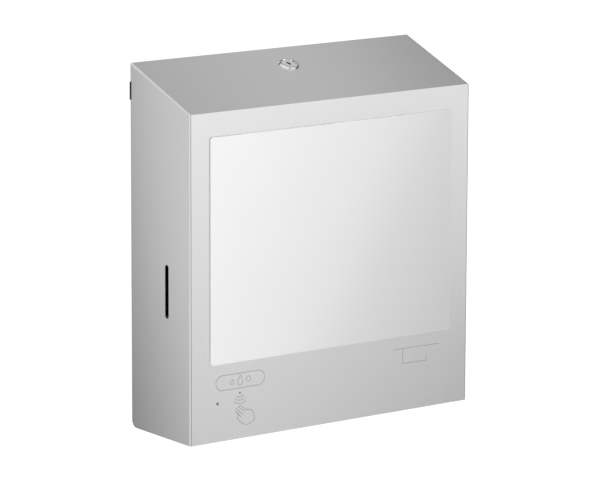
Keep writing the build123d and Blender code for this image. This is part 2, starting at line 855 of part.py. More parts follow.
with BuildPart() as idler_axle:
    with BuildSketch(Plane.XZ.offset(-gear_plate_y)):
        with Locations((idler_x, rotor_z)):
            Circle(axle_radius)
    extrude(amount=gear_plate_y - race_y)
write(idler_axle, "idler_axle")

with BuildPart() as idler_gear:
    with BuildSketch(Plane.XZ.offset(-layer_1)):
        draw_gear(large_teeth, (idler_x, rotor_z), motor_lean + 180.0 / large_teeth)
    extrude(amount=gear_face)
    with BuildSketch(Plane.XZ.offset(-layer_1 + gear_face)):
        draw_gear(small_teeth, (idler_x, rotor_z), 0.0)
    extrude(amount=gear_gap + gear_face)
    with BuildSketch(Plane.XZ.offset(-layer_1)):
        with Locations((idler_x, rotor_z)):
            Circle(axle_radius + running_clearance)
    extrude(amount=2 * gear_face + gear_gap, mode=Mode.SUBTRACT)
write(idler_gear, "idler_gear")

with BuildPart() as rotor_gear:
    with BuildSketch(Plane.XZ.offset(-layer_2)):
        draw_gear(large_teeth, (rotor_x, rotor_z), 180.0 + 180.0 / large_teeth)
    extrude(amount=gear_face)
    with BuildSketch(Plane.XZ.offset(-layer_2)):
        with Locations((rotor_x, rotor_z)):
            Circle(shaft_radius)
            with PolarLocations(window_orbit, gear_windows):
                Rectangle(gear_window, gear_window)
    extrude(amount=gear_face, mode=Mode.SUBTRACT)
write(rotor_gear, "rotor_gear")

with BuildPart() as motor_pinion:
    with BuildSketch(Plane.XZ.offset(-layer_1)):
        draw_gear(small_teeth, (motor_x, motor_z), motor_lean + 180.0)
        with Locations((motor_x, motor_z)):
            Circle(motor_shaft_radius, mode=Mode.SUBTRACT)
    extrude(amount=gear_face)
write(motor_pinion, "motor_pinion")

with BuildPart() as motor_shaft:
    with BuildSketch(Plane.XZ.offset(-gear_plate_y - motor_shaft_hidden)):
        with Locations((motor_x, motor_z)):
            Circle(motor_shaft_radius)
    extrude(amount=motor_shaft_hidden + gear_plate_sheet + gear_gap + gear_face + 0.5)
write(motor_shaft, "motor_shaft")

# Motor can behind the gear plate, its bearing boss through the plate
with BuildPart() as pump_motor:
    with BuildSketch(Plane.XZ.offset(-gear_plate_y)):
        with Locations((motor_x, motor_z)):
            Circle(motor_radius)
            Rectangle(2 * motor_radius, motor_flats, mode=Mode.INTERSECT)
    extrude(amount=-motor_length)
    with BuildSketch(Plane.XZ.offset(-gear_plate_y)):
        with Locations((motor_x, motor_z)):
            Circle(motor_boss_radius)
    extrude(amount=gear_plate_sheet - 0.3)
    with BuildSketch(Plane.XZ.offset(-gear_plate_y + gear_plate_sheet)):
        with Locations((motor_x, motor_z)):
            Circle(motor_shaft_radius + running_clearance)
    extrude(amount=-gear_plate_sheet - motor_shaft_hidden - 0.5, mode=Mode.SUBTRACT)
    with BuildSketch(Plane.XZ.offset(-gear_plate_y - motor_length)):
        with Locations((motor_x, motor_z)):
            RegularPolygon(motor_radius / 3, 8)
            with GridLocations(motor_radius, 0, 2, 1):
                Rectangle(*terminal_size)
    extrude(amount=-terminal_length)
write(pump_motor, "pump_motor")

# Hose pump: rotor with three rollers, running inside a half-round race
band_inner = roller_orbit + roller_radius + hose_gap
band_outer = band_inner + hose_squeeze
band_middle = band_inner + hose_squeeze / 2
race_radius = band_outer + race_clearance
race_out = race_radius + race_wall
disc_rear = hose_y + roller_length / 2 + gear_gap / 4
disc_front = hose_y - roller_length / 2 - gear_gap / 4
with BuildPart() as pump_rotor:
    with BuildSketch(Plane.XZ.offset(-gear_plate_y)):
        with Locations((rotor_x, rotor_z)):
            Circle(shaft_radius)
    extrude(amount=gear_plate_y - disc_rear)
    for start in (disc_rear + rotor_disc, disc_front):
        with BuildSketch(Plane.XZ.offset(-start)):
            with Locations((rotor_x, rotor_z)):
                with PolarLocations(roller_orbit, roller_count, start_angle=90):
                    Circle(2 * roller_pin_radius)
            make_hull()
        extrude(amount=rotor_disc)
    with BuildSketch(Plane.XZ.offset(-disc_rear)):
        with Locations((rotor_x, rotor_z)):
            Circle(2 * shaft_radius)
    extrude(amount=disc_rear - disc_front)
write(pump_rotor, "pump_rotor")

with BuildPart() as roller_pins:
    with BuildSketch(Plane.XZ.offset(-disc_rear)):
        with Locations((rotor_x, rotor_z)):
            with PolarLocations(roller_orbit, roller_count, start_angle=90):
                Circle(roller_pin_radius)
    extrude(amount=disc_rear - disc_front)
write(roller_pins, "roller_pins")

for number in range(roller_count):
    angle = radians(90 + 360 / roller_count * number)
    with BuildPart() as roller:
        with BuildSketch(Plane.XZ.offset(-hose_y - roller_length / 2)):
            with Locations((rotor_x + roller_orbit * cos(angle), rotor_z + roller_orbit * sin(angle))):
                Circle(roller_radius)
                Circle(roller_pin_radius + running_clearance, mode=Mode.SUBTRACT)
        extrude(amount=roller_length)
    write(roller, "pump_roller_" + str(number + 1))

channel = hose_radius + hose_channel_clearance
with BuildPart() as pump_housing:
    with BuildSketch(Plane.XZ.offset(-race_y)):
        with Locations((rotor_x, rotor_z)):
            Circle(race_out)
        with Locations(((nozzle_x - race_wall - channel + rotor_x) / 2, rotor_z)):
            Rectangle(rotor_x - nozzle_x + race_wall + channel, 2 * race_out)
    extrude(amount=race_y - cover_y)
    with BuildSketch(Plane.XZ.offset(-race_y + race_floor)):
        with Locations((rotor_x, rotor_z)):
            Circle(race_radius)
        for sign in (-1, 1):
            with Locations(((nozzle_x - channel + rotor_x) / 2, rotor_z + sign * band_middle)):
                Rectangle(rotor_x - nozzle_x + channel, 2 * channel)
            with Locations((nozzle_x, rotor_z + sign * (band_middle + race_wall))):
                Rectangle(2 * channel, 2 * (channel + race_wall))
            with Locations((nozzle_x + hose_bend / 2, rotor_z + sign * (band_middle + hose_bend / 2))):
                Rectangle(hose_bend, hose_bend)
    extrude(amount=race_y - race_floor - cover_y, mode=Mode.SUBTRACT)
    with BuildSketch(Plane.XZ.offset(-race_y)):
        with Locations((rotor_x, rotor_z)):
            Circle(shaft_radius + 1.5)
    extrude(amount=race_floor, mode=Mode.SUBTRACT)
write(pump_housing, "pump_housing")

with BuildPart() as pump_cover:
    with BuildSketch(Plane.XZ.offset(-cover_y)):
        with Locations((rotor_x, rotor_z)):
            Circle(race_out)
        with Locations(((nozzle_x - race_wall - channel + rotor_x) / 2, rotor_z)):
            Rectangle(rotor_x - nozzle_x + race_wall + channel, 2 * race_out)
    extrude(amount=cover_thickness)
write(pump_cover, "pump_cover")

# Hose: round legs, and a band that the rollers press against the race
nozzle_top = pan_top + nozzle_height
hose_plane = Plane.XZ.offset(-hose_y)
turn_x = rotor_x - hose_lead
with BuildPart() as pump_hose:
    for sign, end_z in ((1, low + socket_height + socket_hose_seat), (-1, nozzle_top)):
        leg_z = rotor_z + sign * band_middle
        bend_z = leg_z + sign * hose_bend
        with BuildLine(hose_plane) as leg_path:
            Line((nozzle_x, end_z), (nozzle_x, bend_z))
            RadiusArc((nozzle_x, bend_z), (turn_x, leg_z), -sign * hose_bend)
        with BuildSketch(Plane.XY.offset(end_z)):
            with Locations((nozzle_x, hose_y)):
                RegularPolygon(hose_radius, hose_sides)
        sweep(path=leg_path.line)
        with BuildSketch(hose_plane.offset(-hose_band_width / 2)):
            with Locations(((turn_x + rotor_x) / 2, leg_z)):
                Rectangle(rotor_x - turn_x + spigot_clearance, hose_squeeze)
        extrude(amount=hose_band_width)
    with BuildSketch(hose_plane.offset(-hose_band_width / 2)):
        with Locations((rotor_x, rotor_z)):
            Circle(band_outer)
            Circle(band_inner, mode=Mode.SUBTRACT)
        with Locations((rotor_x - band_outer, rotor_z)):
            Rectangle(2 * band_outer, 2 * band_outer, mode=Mode.SUBTRACT)
    extrude(amount=hose_band_width)
write(pump_hose, "pump_hose")

# Tank socket: carried by the pump plate, it joins the hose to the tank's spigot
with BuildPart() as tank_socket:
    with BuildSketch(Plane.XY.offset(low + socket_height)):
        with Locations((nozzle_x, (hose_y - socket_radius + race_y) / 2)):
            Rectangle(2 * socket_radius, race_y - hose_y + socket_radius)
    extrude(amount=socket_length)
    chamfer(tank_socket.edges().filter_by(Axis.Z).group_by(Axis.Y)[0], length=socket_radius / 3)
    with BuildSketch(Plane.XY.offset(low + socket_height)):
        with Locations((nozzle_x, hose_y)):
            Circle(hose_radius)
    extrude(amount=socket_hose_seat, mode=Mode.SUBTRACT)
    with BuildSketch(Plane.XY.offset(low + socket_height + socket_spigot_seat)):
        with Locations((nozzle_x, hose_y)):
            Circle(spigot_radius + spigot_clearance)
    extrude(amount=socket_length, mode=Mode.SUBTRACT)
    with BuildSketch(Plane.XY.offset(low + socket_height)):
        with Locations((nozzle_x, hose_y)):
            Circle(spigot_bore)
    extrude(amount=socket_length, mode=Mode.SUBTRACT)
write(tank_socket, "tank_socket")

# Soap tank: thin walls, a fixed top at the rear and a filling mouth under the lid
tank_bottom = chassis_top
tank_top = tank_bottom + tank_height
tank_rear = -tank_rear_gap
tank_y = (tank_rear - tank_front) / 2
tank_width = soap_width - 2 * (chassis_wall + tank_play)
lid_y = -lid_hinge_in
mouth_front = -tank_front + tank_mouth_front
mouth_back = lid_y - knuckle_radius - tank_mouth_to_knuckle
with BuildPart() as soap_tank:
    with BuildSketch(Plane.XY.offset(tank_bottom)):
        with Locations((soap_x, tank_y)):
            RectangleRounded(tank_width, tank_front + tank_rear, tank_corner)
    extrude(amount=tank_height)
    chamfer(soap_tank.faces().sort_by(Axis.Z)[0].edges(), length=tank_wall / 2)
    with BuildSketch(Plane.XY.offset(tank_bottom + tank_wall)):
        with Locations((soap_x, tank_y)):
            RectangleRounded(
                tank_width - 2 * tank_wall,
                tank_front + tank_rear - 2 * tank_wall,
                tank_corner - tank_wall,
            )
    extrude(amount=tank_height - 2 * tank_wall, mode=Mode.SUBTRACT)
    with BuildSketch(Plane.XY.offset(tank_top - tank_wall)):
        with Locations((soap_x, (mouth_back + mouth_front) / 2)):
            Rectangle(tank_width - 2 * tank_mouth_rim, mouth_back - mouth_front)
    extrude(amount=tank_wall, mode=Mode.SUBTRACT)
    with BuildSketch(Plane.XY.offset(tank_bottom)):
        with Locations((nozzle_x, hose_y)):
            Circle(spigot_radius)
    extrude(amount=-(tank_bottom - low - socket_height - socket_length + spigot_grip))
    with BuildSketch(Plane.XY.offset(tank_bottom + tank_wall)):
        with Locations((nozzle_x, hose_y)):
            Circle(spigot_bore)
    extrude(amount=-tank_height / 2, mode=Mode.SUBTRACT)
    knuckle_z = tank_top + knuckle_radius
    with BuildSketch(Plane.YZ.offset(soap_x)):
        with Locations((lid_y, knuckle_z)):
            Circle(knuckle_radius)
        with Locations((lid_y, tank_top + knuckle_radius / 2)):
            Rectangle(2 * knuckle_radius, knuckle_radius)
        with Locations((lid_y, knuckle_z)):
            Circle(lid_pin_radius, mode=Mode.SUBTRACT)
    extrude(amount=tank_width / 6, both=True)
write(soap_tank, "soap_tank")

# Lid: its pins turn in ears outside the tank's knuckle
with BuildPart() as tank_lid:
    lid_front = -tank_front + lid_overlap
    lid_back = lid_y - knuckle_radius - lid_hinge_gap
    with BuildSketch(Plane.XY.offset(tank_top)):
        with Locations((soap_x, (lid_back + lid_front) / 2)):
            RectangleRounded(tank_width - 2 * lid_side, lid_back - lid_front, tank_corner / 2)
    extrude(amount=lid_thickness)
    with BuildSketch(Plane.XY.offset(tank_top)):
        with Locations((soap_x, (mouth_back + mouth_front) / 2)):
            Rectangle(tank_width - 2 * lid_rim_inset, mouth_back - mouth_front - 2 * tank_wall)
            Rectangle(
                tank_width - 2 * (lid_rim_inset + tank_wall),
                mouth_back - mouth_front - 4 * tank_wall,
                mode=Mode.SUBTRACT,
            )
    extrude(amount=-2 * tank_wall)
    for sign in (-1, 1):
        ear_in = soap_x + sign * (tank_width / 6 + lid_ear_gap)
        with BuildSketch(Plane.YZ.offset(ear_in)):
            with Locations((lid_y, knuckle_z)):
                Circle(knuckle_radius - 0.3)
            with Locations((lid_y - knuckle_radius - 1, tank_top + lid_thickness / 2 + 0.5)):
                Rectangle(2 * knuckle_radius, lid_thickness + 1)
        extrude(amount=sign * lid_ear_length)
    with BuildSketch(Plane.YZ.offset(soap_x)):
        with Locations((lid_y, knuckle_z)):
            Circle(lid_pin_radius - running_clearance)
    extrude(amount=tank_width / 6 + lid_pin_length, both=True)
    with BuildSketch(Plane.XY.offset(tank_top + lid_thickness)):
        with Locations((soap_x, lid_front + lid_grip_width)):
            Rectangle(tank_width / 4, lid_grip_width)
    extrude(amount=lid_thickness)
write(tank_lid, "tank_lid")

# Nozzle through the pan, with a duckbill valve in its mouth
nozzle_low = pan_bottom - nozzle_drop
with BuildPart() as soap_nozzle:
    with BuildSketch(Plane.XY.offset(nozzle_low)):
        with Locations((nozzle_x, hose_y)):
            Circle(nozzle_radius)
    extrude(amount=pan_top - nozzle_low)
    chamfer(soap_nozzle.faces().sort_by(Axis.Z)[0].edges(), length=nozzle_bevel)
    with BuildSketch(Plane.XY.offset(pan_top)):
        with Locations((nozzle_x, hose_y)):
            RegularPolygon(nozzle_collar, 6)
    extrude(amount=nozzle_collar_thickness)
    with BuildSketch(Plane.XY.offset(pan_top + nozzle_collar_thickness)):
        with Locations((nozzle_x, hose_y)):
            RegularPolygon(nozzle_radius, 8)
    extrude(amount=nozzle_height - nozzle_collar_thickness + nozzle_grip)
    with BuildSketch(Plane.XY.offset(nozzle_low)):
        with Locations((nozzle_x, hose_y)):
            Circle(nozzle_radius - nozzle_wall)
    extrude(amount=valve_recess, mode=Mode.SUBTRACT)
    with BuildSketch(Plane.XY.offset(nozzle_low)):
        with Locations((nozzle_x, hose_y)):
            Circle(hose_radius)
    extrude(amount=nozzle_top + nozzle_grip - nozzle_low, mode=Mode.SUBTRACT)
write(soap_nozzle, "soap_nozzle")

with BuildPart() as nozzle_valve:
    with BuildSketch(Plane.XY.offset(nozzle_low + valve_recess)):
        with Locations((nozzle_x, hose_y)):
            Circle(nozzle_radius - nozzle_wall)
    extrude(amount=-valve_flange)
    with BuildSketch(Plane.YZ.offset(nozzle_x)):
        with BuildLine():
            Polyline(
                (hose_y - valve_beak / 2, nozzle_low + valve_recess - valve_flange),
                (hose_y - valve_beak / 10, nozzle_low + valve_flange / 3),
                (hose_y + valve_beak / 10, nozzle_low + valve_flange / 3),
                (hose_y + valve_beak / 2, nozzle_low + valve_recess - valve_flange),
                close=True,
            )
        make_face()
    extrude(amount=valve_beak / 2, both=True)
write(nozzle_valve, "nozzle_valve")

# Sensor: body on the pan, two lenses looking down through it
with BuildPart() as sensor_body:
    with BuildSketch(Plane.XY.offset(pan_top)):
        with Locations((sensor_x, hose_y)):
            Rectangle(sensor_size[0], sensor_size[1])
    extrude(amount=sensor_size[2])
    chamfer(sensor_body.faces().sort_by(Axis.Z)[-1].edges(), length=1)
write(sensor_body, "sensor_body")

with BuildPart() as sensor_lenses:
    with BuildSketch(Plane.XY.offset(pan_top)):
        with Locations((sensor_x, hose_y)):
            with GridLocations(sensor_lens_pitch, 0, 2, 1):
                Circle(sensor_lens_radius)
    extrude(amount=-pan_sheet - lens_drop)
write(sensor_lenses, "sensor_lenses")

# Rocker switch in the gear plate
switch_x = soap_left + switch_inset
switch_z = low + switch_height
rocker_y = gear_front + 1.0
with BuildPart() as switch_body:
    with BuildSketch(Plane.XZ.offset(-gear_front)):
        with Locations((switch_x, switch_z)):
            Rectangle(switch_size[0] + 2 * switch_bezel, switch_size[1] + 2 * switch_bezel)
    extrude(amount=switch_bezel)
    with BuildSketch(Plane.XZ.offset(-gear_front)):
        with Locations((switch_x, switch_z)):
            Rectangle(switch_size[0], switch_size[1])
    extrude(amount=-switch_length)
    with BuildSketch(Plane.XZ.offset(-gear_front + switch_bezel)):
        with Locations((switch_x, switch_z)):
            Rectangle(switch_size[0] - 2 * switch_bezel, switch_size[1] - 2 * switch_bezel)
    extrude(amount=switch_floor - switch_length - switch_bezel, mode=Mode.SUBTRACT)
    with BuildSketch(Plane.YZ.offset(switch_x)):
        with Locations((rocker_y, switch_z)):
            Circle(rocker_pin_radius + running_clearance)
    extrude(amount=switch_size[0] / 2, both=True, mode=Mode.SUBTRACT)
write(switch_body, "switch_body")

# The rocker lies tipped to its off side, on pins that turn in the switch body
rocker_plane = Plane(
    origin=(switch_x, rocker_y, switch_z),
    x_dir=(0, cos(radians(rocker_tilt)), sin(radians(rocker_tilt))),
    z_dir=(1, 0, 0),
)
rocker_half = switch_size[1] / 2 - rocker_to_bezel
with BuildPart() as rocker:
    with BuildSketch(rocker_plane):
        with BuildLine():
            Polyline(
                (3, -2.5),
                (-3.2, -rocker_half),
                (-4.4, -rocker_half),
                (-3.0, 0),
                (-4.4, rocker_half),
                (-3.2, rocker_half),
                (3, 2.5),
                close=True,
            )
        make_face()
    extrude(amount=switch_size[0] / 2 - rocker_side_gap, both=True)
    with BuildSketch(rocker_plane):
        Circle(rocker_pin_radius)
    extrude(amount=switch_size[0] / 2 - rocker_pin_end_gap, both=True)
write(rocker, "rocker")

# Battery box over the tank, with its door hinged at the bottom
box_width = 2 * cell_length + 4 * battery_wall
box_height = 2 * cell_pitch + 2 * battery_wall
box_depth = 2 * cell_radius + battery_wall + 1
box_low = low + plate_top_height - battery_below_top - box_height
box_front = -plate_sheet - box_depth
door_y = box_front - door_knuckle_radius
door_z = box_low - door_drop
with BuildPart() as battery_box:
    with BuildSketch(Plane.XZ.offset(plate_sheet)):
        with Locations((soap_x, box_low + box_height / 2)):
            Rectangle(box_width, box_height)
    extrude(amount=box_depth)
    with BuildSketch(Plane.XZ.offset(plate_sheet + battery_wall)):
        with Locations((soap_x, box_low + box_height / 2)):
            Rectangle(box_width - 2 * battery_wall, box_height - 2 * battery_wall)
    extrude(amount=box_depth, mode=Mode.SUBTRACT)
    for sign in (-1, 1):
        ear_x = soap_x + sign * (box_width / 2 - ear_inset)
        with BuildSketch(Plane.YZ.offset(ear_x)):
            with Locations((box_front - ear_size / 2 + 1, box_low - ear_size / 4)):
                Rectangle(ear_size + 2, ear_size)
            with Locations((door_y, door_z)):
                Circle(door_pin_radius + running_clearance, mode=Mode.SUBTRACT)
        extrude(amount=sign * ear_width)
write(battery_box, "battery_box")

with BuildPart() as battery_cells:
    cell_y = -(plate_sheet + battery_wall + cell_radius + cell_rear_gap)
    with BuildSketch(Plane.YZ.offset(soap_x)):
        with Locations((cell_y, box_low + box_height / 2)):
            with GridLocations(0, cell_pitch, 1, 2):
                Circle(cell_radius)
    extrude(amount=cell_length - cell_end_gap, both=True)
write(battery_cells, "battery_cells")

with BuildPart() as battery_contacts:
    for sign in (-1, 1):
        with BuildSketch(Plane.YZ.offset(soap_x + sign * (box_width / 2 - battery_wall))):
            with Locations((-(plate_sheet + battery_wall + cell_radius), box_low + box_height / 2)):
                Rectangle(2 * cell_radius - contact_margin, 2 * cell_pitch - contact_margin)
        extrude(amount=-sign * contact_sheet)
write(battery_contacts, "battery_contacts")

with BuildPart() as battery_door:
    with BuildSketch(Plane.XZ.offset(-box_front + door_play)):
        with Locations((soap_x, box_low + box_height / 2 + 1.5)):
            Rectangle(box_width, box_height - 4)
    extrude(amount=door_thickness)
    with BuildSketch(Plane.YZ.offset(soap_x)):
        with Locations((door_y, door_z)):
            Circle(door_knuckle_radius)
        with Locations((box_front - door_play - door_thickness / 2, box_low + 2)):
            Rectangle(door_thickness, 6)
    extrude(amount=box_width / 2 - ear_inset - ear_side_gap, both=True)
    with BuildSketch(Plane.YZ.offset(soap_x)):
        with Locations((door_y, door_z)):
            Circle(door_pin_radius)
    extrude(amount=box_width / 2 - ear_inset + ear_width - pin_end_gap, both=True)
    with BuildSketch(Plane.XZ.offset(-box_front + door_play + door_thickness)):
        with Locations((soap_x, box_low + box_height - 5)):
            Rectangle(box_width / 4, 2 * door_thickness)
    extrude(amount=door_thickness)
write(battery_door, "battery_door")
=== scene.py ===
# Looks of a wall-hung dispenser for paper towels and soap, in metres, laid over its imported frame.
# The sections follow the object as it is put together: hood, signs, mirror and lock, then back plate,
# towel magazine, tank, pump and electrics, and last the studio around it.
import json

import bmesh
import bpy
import numpy as np
from mathutils import Matrix, Vector


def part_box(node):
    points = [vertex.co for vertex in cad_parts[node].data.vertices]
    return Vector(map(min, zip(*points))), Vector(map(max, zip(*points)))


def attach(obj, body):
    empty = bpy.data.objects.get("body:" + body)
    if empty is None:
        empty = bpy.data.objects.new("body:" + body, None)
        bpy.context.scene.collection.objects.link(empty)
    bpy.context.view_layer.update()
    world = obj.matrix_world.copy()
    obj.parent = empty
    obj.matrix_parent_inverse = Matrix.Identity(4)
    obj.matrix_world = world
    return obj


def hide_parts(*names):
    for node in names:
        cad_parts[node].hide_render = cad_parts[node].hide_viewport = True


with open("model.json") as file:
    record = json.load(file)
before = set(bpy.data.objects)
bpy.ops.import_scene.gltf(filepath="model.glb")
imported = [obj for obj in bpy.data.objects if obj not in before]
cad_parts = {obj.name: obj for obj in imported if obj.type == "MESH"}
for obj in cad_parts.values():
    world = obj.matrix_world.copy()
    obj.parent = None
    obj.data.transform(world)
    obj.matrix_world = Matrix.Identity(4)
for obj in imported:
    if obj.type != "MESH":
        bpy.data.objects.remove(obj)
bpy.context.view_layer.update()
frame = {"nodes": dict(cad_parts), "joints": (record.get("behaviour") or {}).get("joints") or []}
nodes = frame["nodes"]

# Hood: one sheet of 1.2 mm stainless steel, folded over the front, sides and sloped top.
# It was belt-brushed flat, so the grain runs up the front and sides and on over the slope,
# and hands have left it faintly clouded.


def start_material(name, values):
    """A material with one Principled shader, whose own sockets take the values that are the same all over."""
    material = bpy.data.materials.new(name)
    material.use_nodes = True
    shader = material.node_tree.nodes["Principled BSDF"]
    for socket, value in values.items():
        shader.inputs[socket].default_value = value
    return material, material.node_tree, shader


def put(tree, kind, inputs=None, **settings):
    """One node of a kind in a tree: each input is a constant or another node's socket."""
    node = tree.nodes.new("ShaderNode" + kind)
    for key, value in settings.items():
        setattr(node, key, value)
    for key, value in (inputs or {}).items():
        if isinstance(value, bpy.types.NodeSocket):
            tree.links.new(value, node.inputs[key])
        else:
            node.inputs[key].default_value = value
    return node


def spread(tree, value, low, high, start=0.0, end=1.0):
    """A value between start and end, carried to the range from low to high."""
    ends = {"From Min": start, "From Max": end, "To Min": low, "To Max": high}
    return put(tree, "MapRange", {"Value": value, **ends}).outputs["Result"]


def maths(tree, operation, *values):
    """The result of one operation on constants or sockets."""
    return put(tree, "Math", dict(enumerate(values)), operation=operation).outputs[0]


def noise(tree, place, scale, detail=2.0, **more):
    """Noise from 0 to 1 over a place: the larger the scale, the finer it is."""
    return put(tree, "TexNoise", {"Vector": place, "Scale": scale, "Detail": detail, **more}).outputs["Fac"]


def blend_colours(tree, mask, first, second):
    """The first colour where the mask is 0, and the second where it is 1."""
    mix = put(tree, "Mix", {"Factor": mask}, data_type="RGBA")
    for socket, colour in ((mix.inputs[6], first), (mix.inputs[7], second)):
        if isinstance(colour, bpy.types.NodeSocket):
            tree.links.new(colour, socket)
        else:
            socket.default_value = (*colour, 1.0)
    return mix.outputs[2]


def relief(tree, shader, height, distance, strength=1.0):
    """The shader's normal, tilted by a height map that stands distance metres high."""
    bump = put(tree, "Bump", {"Height": height, "Distance": distance, "Strength": strength})
    tree.links.new(bump.outputs["Normal"], shader.inputs["Normal"])


def new_group(name, inputs, outputs):
    """An empty node group with named sockets, each given as (name, kind)."""
    group = bpy.data.node_groups.new(name, "ShaderNodeTree")
    for way, sockets in (("INPUT", inputs), ("OUTPUT", outputs)):
        for label, kind in sockets:
            group.interface.new_socket(label, in_out=way, socket_type="NodeSocket" + kind)
    return group, group.nodes.new("NodeGroupInput"), group.nodes.new("NodeGroupOutput")


def use_group(tree, group, inputs):
    """A node that places a group in a material."""
    return put(tree, "Group", inputs, node_tree=group)


# Brushed grain: noise drawn out along the belt's travel, and a slow cloud from handling.
brushed_grain, group_in, group_out = new_group(
    "brushed_grain",
    [("Place", "Vector"), ("Fineness", "Vector")],
    [("Streaks", "Float"), ("Cloud", "Float")],
)
place, fineness = group_in.outputs["Place"], group_in.outputs["Fineness"]
drawn_out = put(brushed_grain, "VectorMath", {0: place, 1: fineness}, operation="MULTIPLY").outputs[0]
fine = noise(brushed_grain, drawn_out, 1.0, 6.0, Roughness=0.72)
slow = noise(brushed_grain, place, 9.0, 3.0, Roughness=0.6)
brushed_grain.links.new(fine, group_out.inputs["Streaks"])
brushed_grain.links.new(slow, group_out.inputs["Cloud"])

# Soft dust: a fine mottled film that settles on faces turned upwards.
settled_dust, group_in, group_out = new_group(
    "settled_dust",
    [("Place", "Vector"), ("Facing", "Vector"), ("Amount", "Float")],
    [("Film", "Float")],
)
facing_up = put(settled_dust, "SeparateXYZ", {"Vector": group_in.outputs["Facing"]}).outputs["Z"]
upward = spread(settled_dust, facing_up, 0.0, 1.0, start=0.3)
mottle = noise(settled_dust, group_in.outputs["Place"], 70.0, 5.0)
patchy = spread(settled_dust, mottle, 0.0, 1.0, start=0.35, end=0.7)
film = maths(settled_dust, "MULTIPLY", upward, patchy)
film = maths(settled_dust, "MULTIPLY", film, group_in.outputs["Amount"])
settled_dust.links.new(film, group_out.inputs["Film"])


def brushed_metal(name, colour, roughness, fineness, contrast, scratch_depth, slope_fineness=None):
    """Metal whose colour, gloss and relief all follow the brushed grain. With a slope_fineness the grain
    turns where a face looks up by more than slope_facing."""
    slope_facing = 0.6
    material, tree, shader = start_material(name, {"Metallic": 1.0})
    place = put(tree, "TexCoord")
    grain_scale = fineness
    if slope_fineness:
        turned_up = put(tree, "SeparateXYZ", {"Vector": place.outputs["Normal"]}).outputs["Z"]
        on_slope = maths(tree, "GREATER_THAN", turned_up, slope_facing)
        choice = put(tree, "Mix", {"Factor": on_slope, 4: fineness, 5: slope_fineness}, data_type="VECTOR")
        grain_scale = choice.outputs[1]
    grain = use_group(tree, brushed_grain, {"Place": place.outputs["Object"], "Fineness": grain_scale})
    streaks, cloud = grain.outputs["Streaks"], grain.outputs["Cloud"]
    dark = [c * (1 - contrast) for c in colour]
    light = [min(1.0, c * (1 + contrast)) for c in colour]
    tree.links.new(blend_colours(tree, streaks, dark, light), shader.inputs["Base Color"])
    gloss = spread(tree, maths(tree, "ADD", streaks, cloud), roughness * 0.85, roughness * 1.15, end=2.0)
    tree.links.new(gloss, shader.inputs["Roughness"])
    relief(tree, shader, streaks, scratch_depth)
    return material


def wear(material, *names):
    """Gives a material to CAD nodes, in their own slots."""
    for name in names:
        for slot in nodes[name].material_slots:
            slot.material = material


hood_steel = brushed_metal(
    "hood_brushed_steel",
    colour=(0.80, 0.80, 0.80),
    roughness=0.23,
    fineness=(420.0, 420.0, 9.0),
    contrast=0.018,
    scratch_depth=0.000004,
    slope_fineness=(420.0, 9.0, 9.0),
)
wear(hood_steel, "hood")

# Signs: thin grey lines etched in the steel of the front. An oval with a drop stands for the soap,
# a dot, three waves and a cupped hand say that it needs no touch, and a folded sheet shows the towels.
hood_low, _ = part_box("hood")
sign_face = hood_low.y
sign_rise = 0.00004
sign_sunk = 0.00002
sign_line = 0.0009
lower_edge = hood_low.z


def ribbon(points, width, closed):
    """A flat line along points (x, height) on the front: each point is moved half a width to both sides,
    square to the mean direction of the two runs that meet there, and the strip stands sign_rise proud."""
    p = np.asarray(points, float)
    ahead = np.roll(p, -1, 0) - p
    behind = p - np.roll(p, 1, 0)
    if not closed:
        ahead[-1] = behind[-1]
        behind[0] = ahead[0]
    ahead /= np.linalg.norm(ahead, axis=1)[:, None]
    behind /= np.linalg.norm(behind, axis=1)[:, None]
    along = ahead + behind
    along /= np.linalg.norm(along, axis=1)[:, None]
    across = np.stack([-along[:, 1], along[:, 0]], 1)
    reach = width / 2 / np.maximum(0.5, (across * np.stack([-ahead[:, 1], ahead[:, 0]], 1)).sum(1))
    offsets = np.array([[-1.0, 0.0], [-0.6, 1.0], [0.6, 1.0], [1.0, 0.0]])
    flat = p[:, None, :] + across[:, None, :] * (reach[:, None] * offsets[:, 0])[:, :, None]
    grid = np.empty((len(p), 4, 3))
    grid[:, :, 0] = flat[:, :, 0]
    grid[:, :, 1] = sign_face + sign_sunk - offsets[:, 1] * (sign_rise + sign_sunk)
    grid[:, :, 2] = lower_edge + flat[:, :, 1]
    return grid


def grid_faces(rows, columns, closed_rows, closed_columns):
    """Quads between neighbours on a grid of rows by columns, wrapped round where it is closed."""
    row_runs = rows if closed_rows else rows - 1
    column_runs = columns if closed_columns else columns - 1
    i, j = np.meshgrid(np.arange(row_runs), np.arange(column_runs), indexing="ij")
    i2, j2 = (i + 1) % rows, (j + 1) % columns
    return np.stack([i * columns + j, i2 * columns + j, i2 * columns + j2, i * columns + j2], -1).reshape(-1, 4)


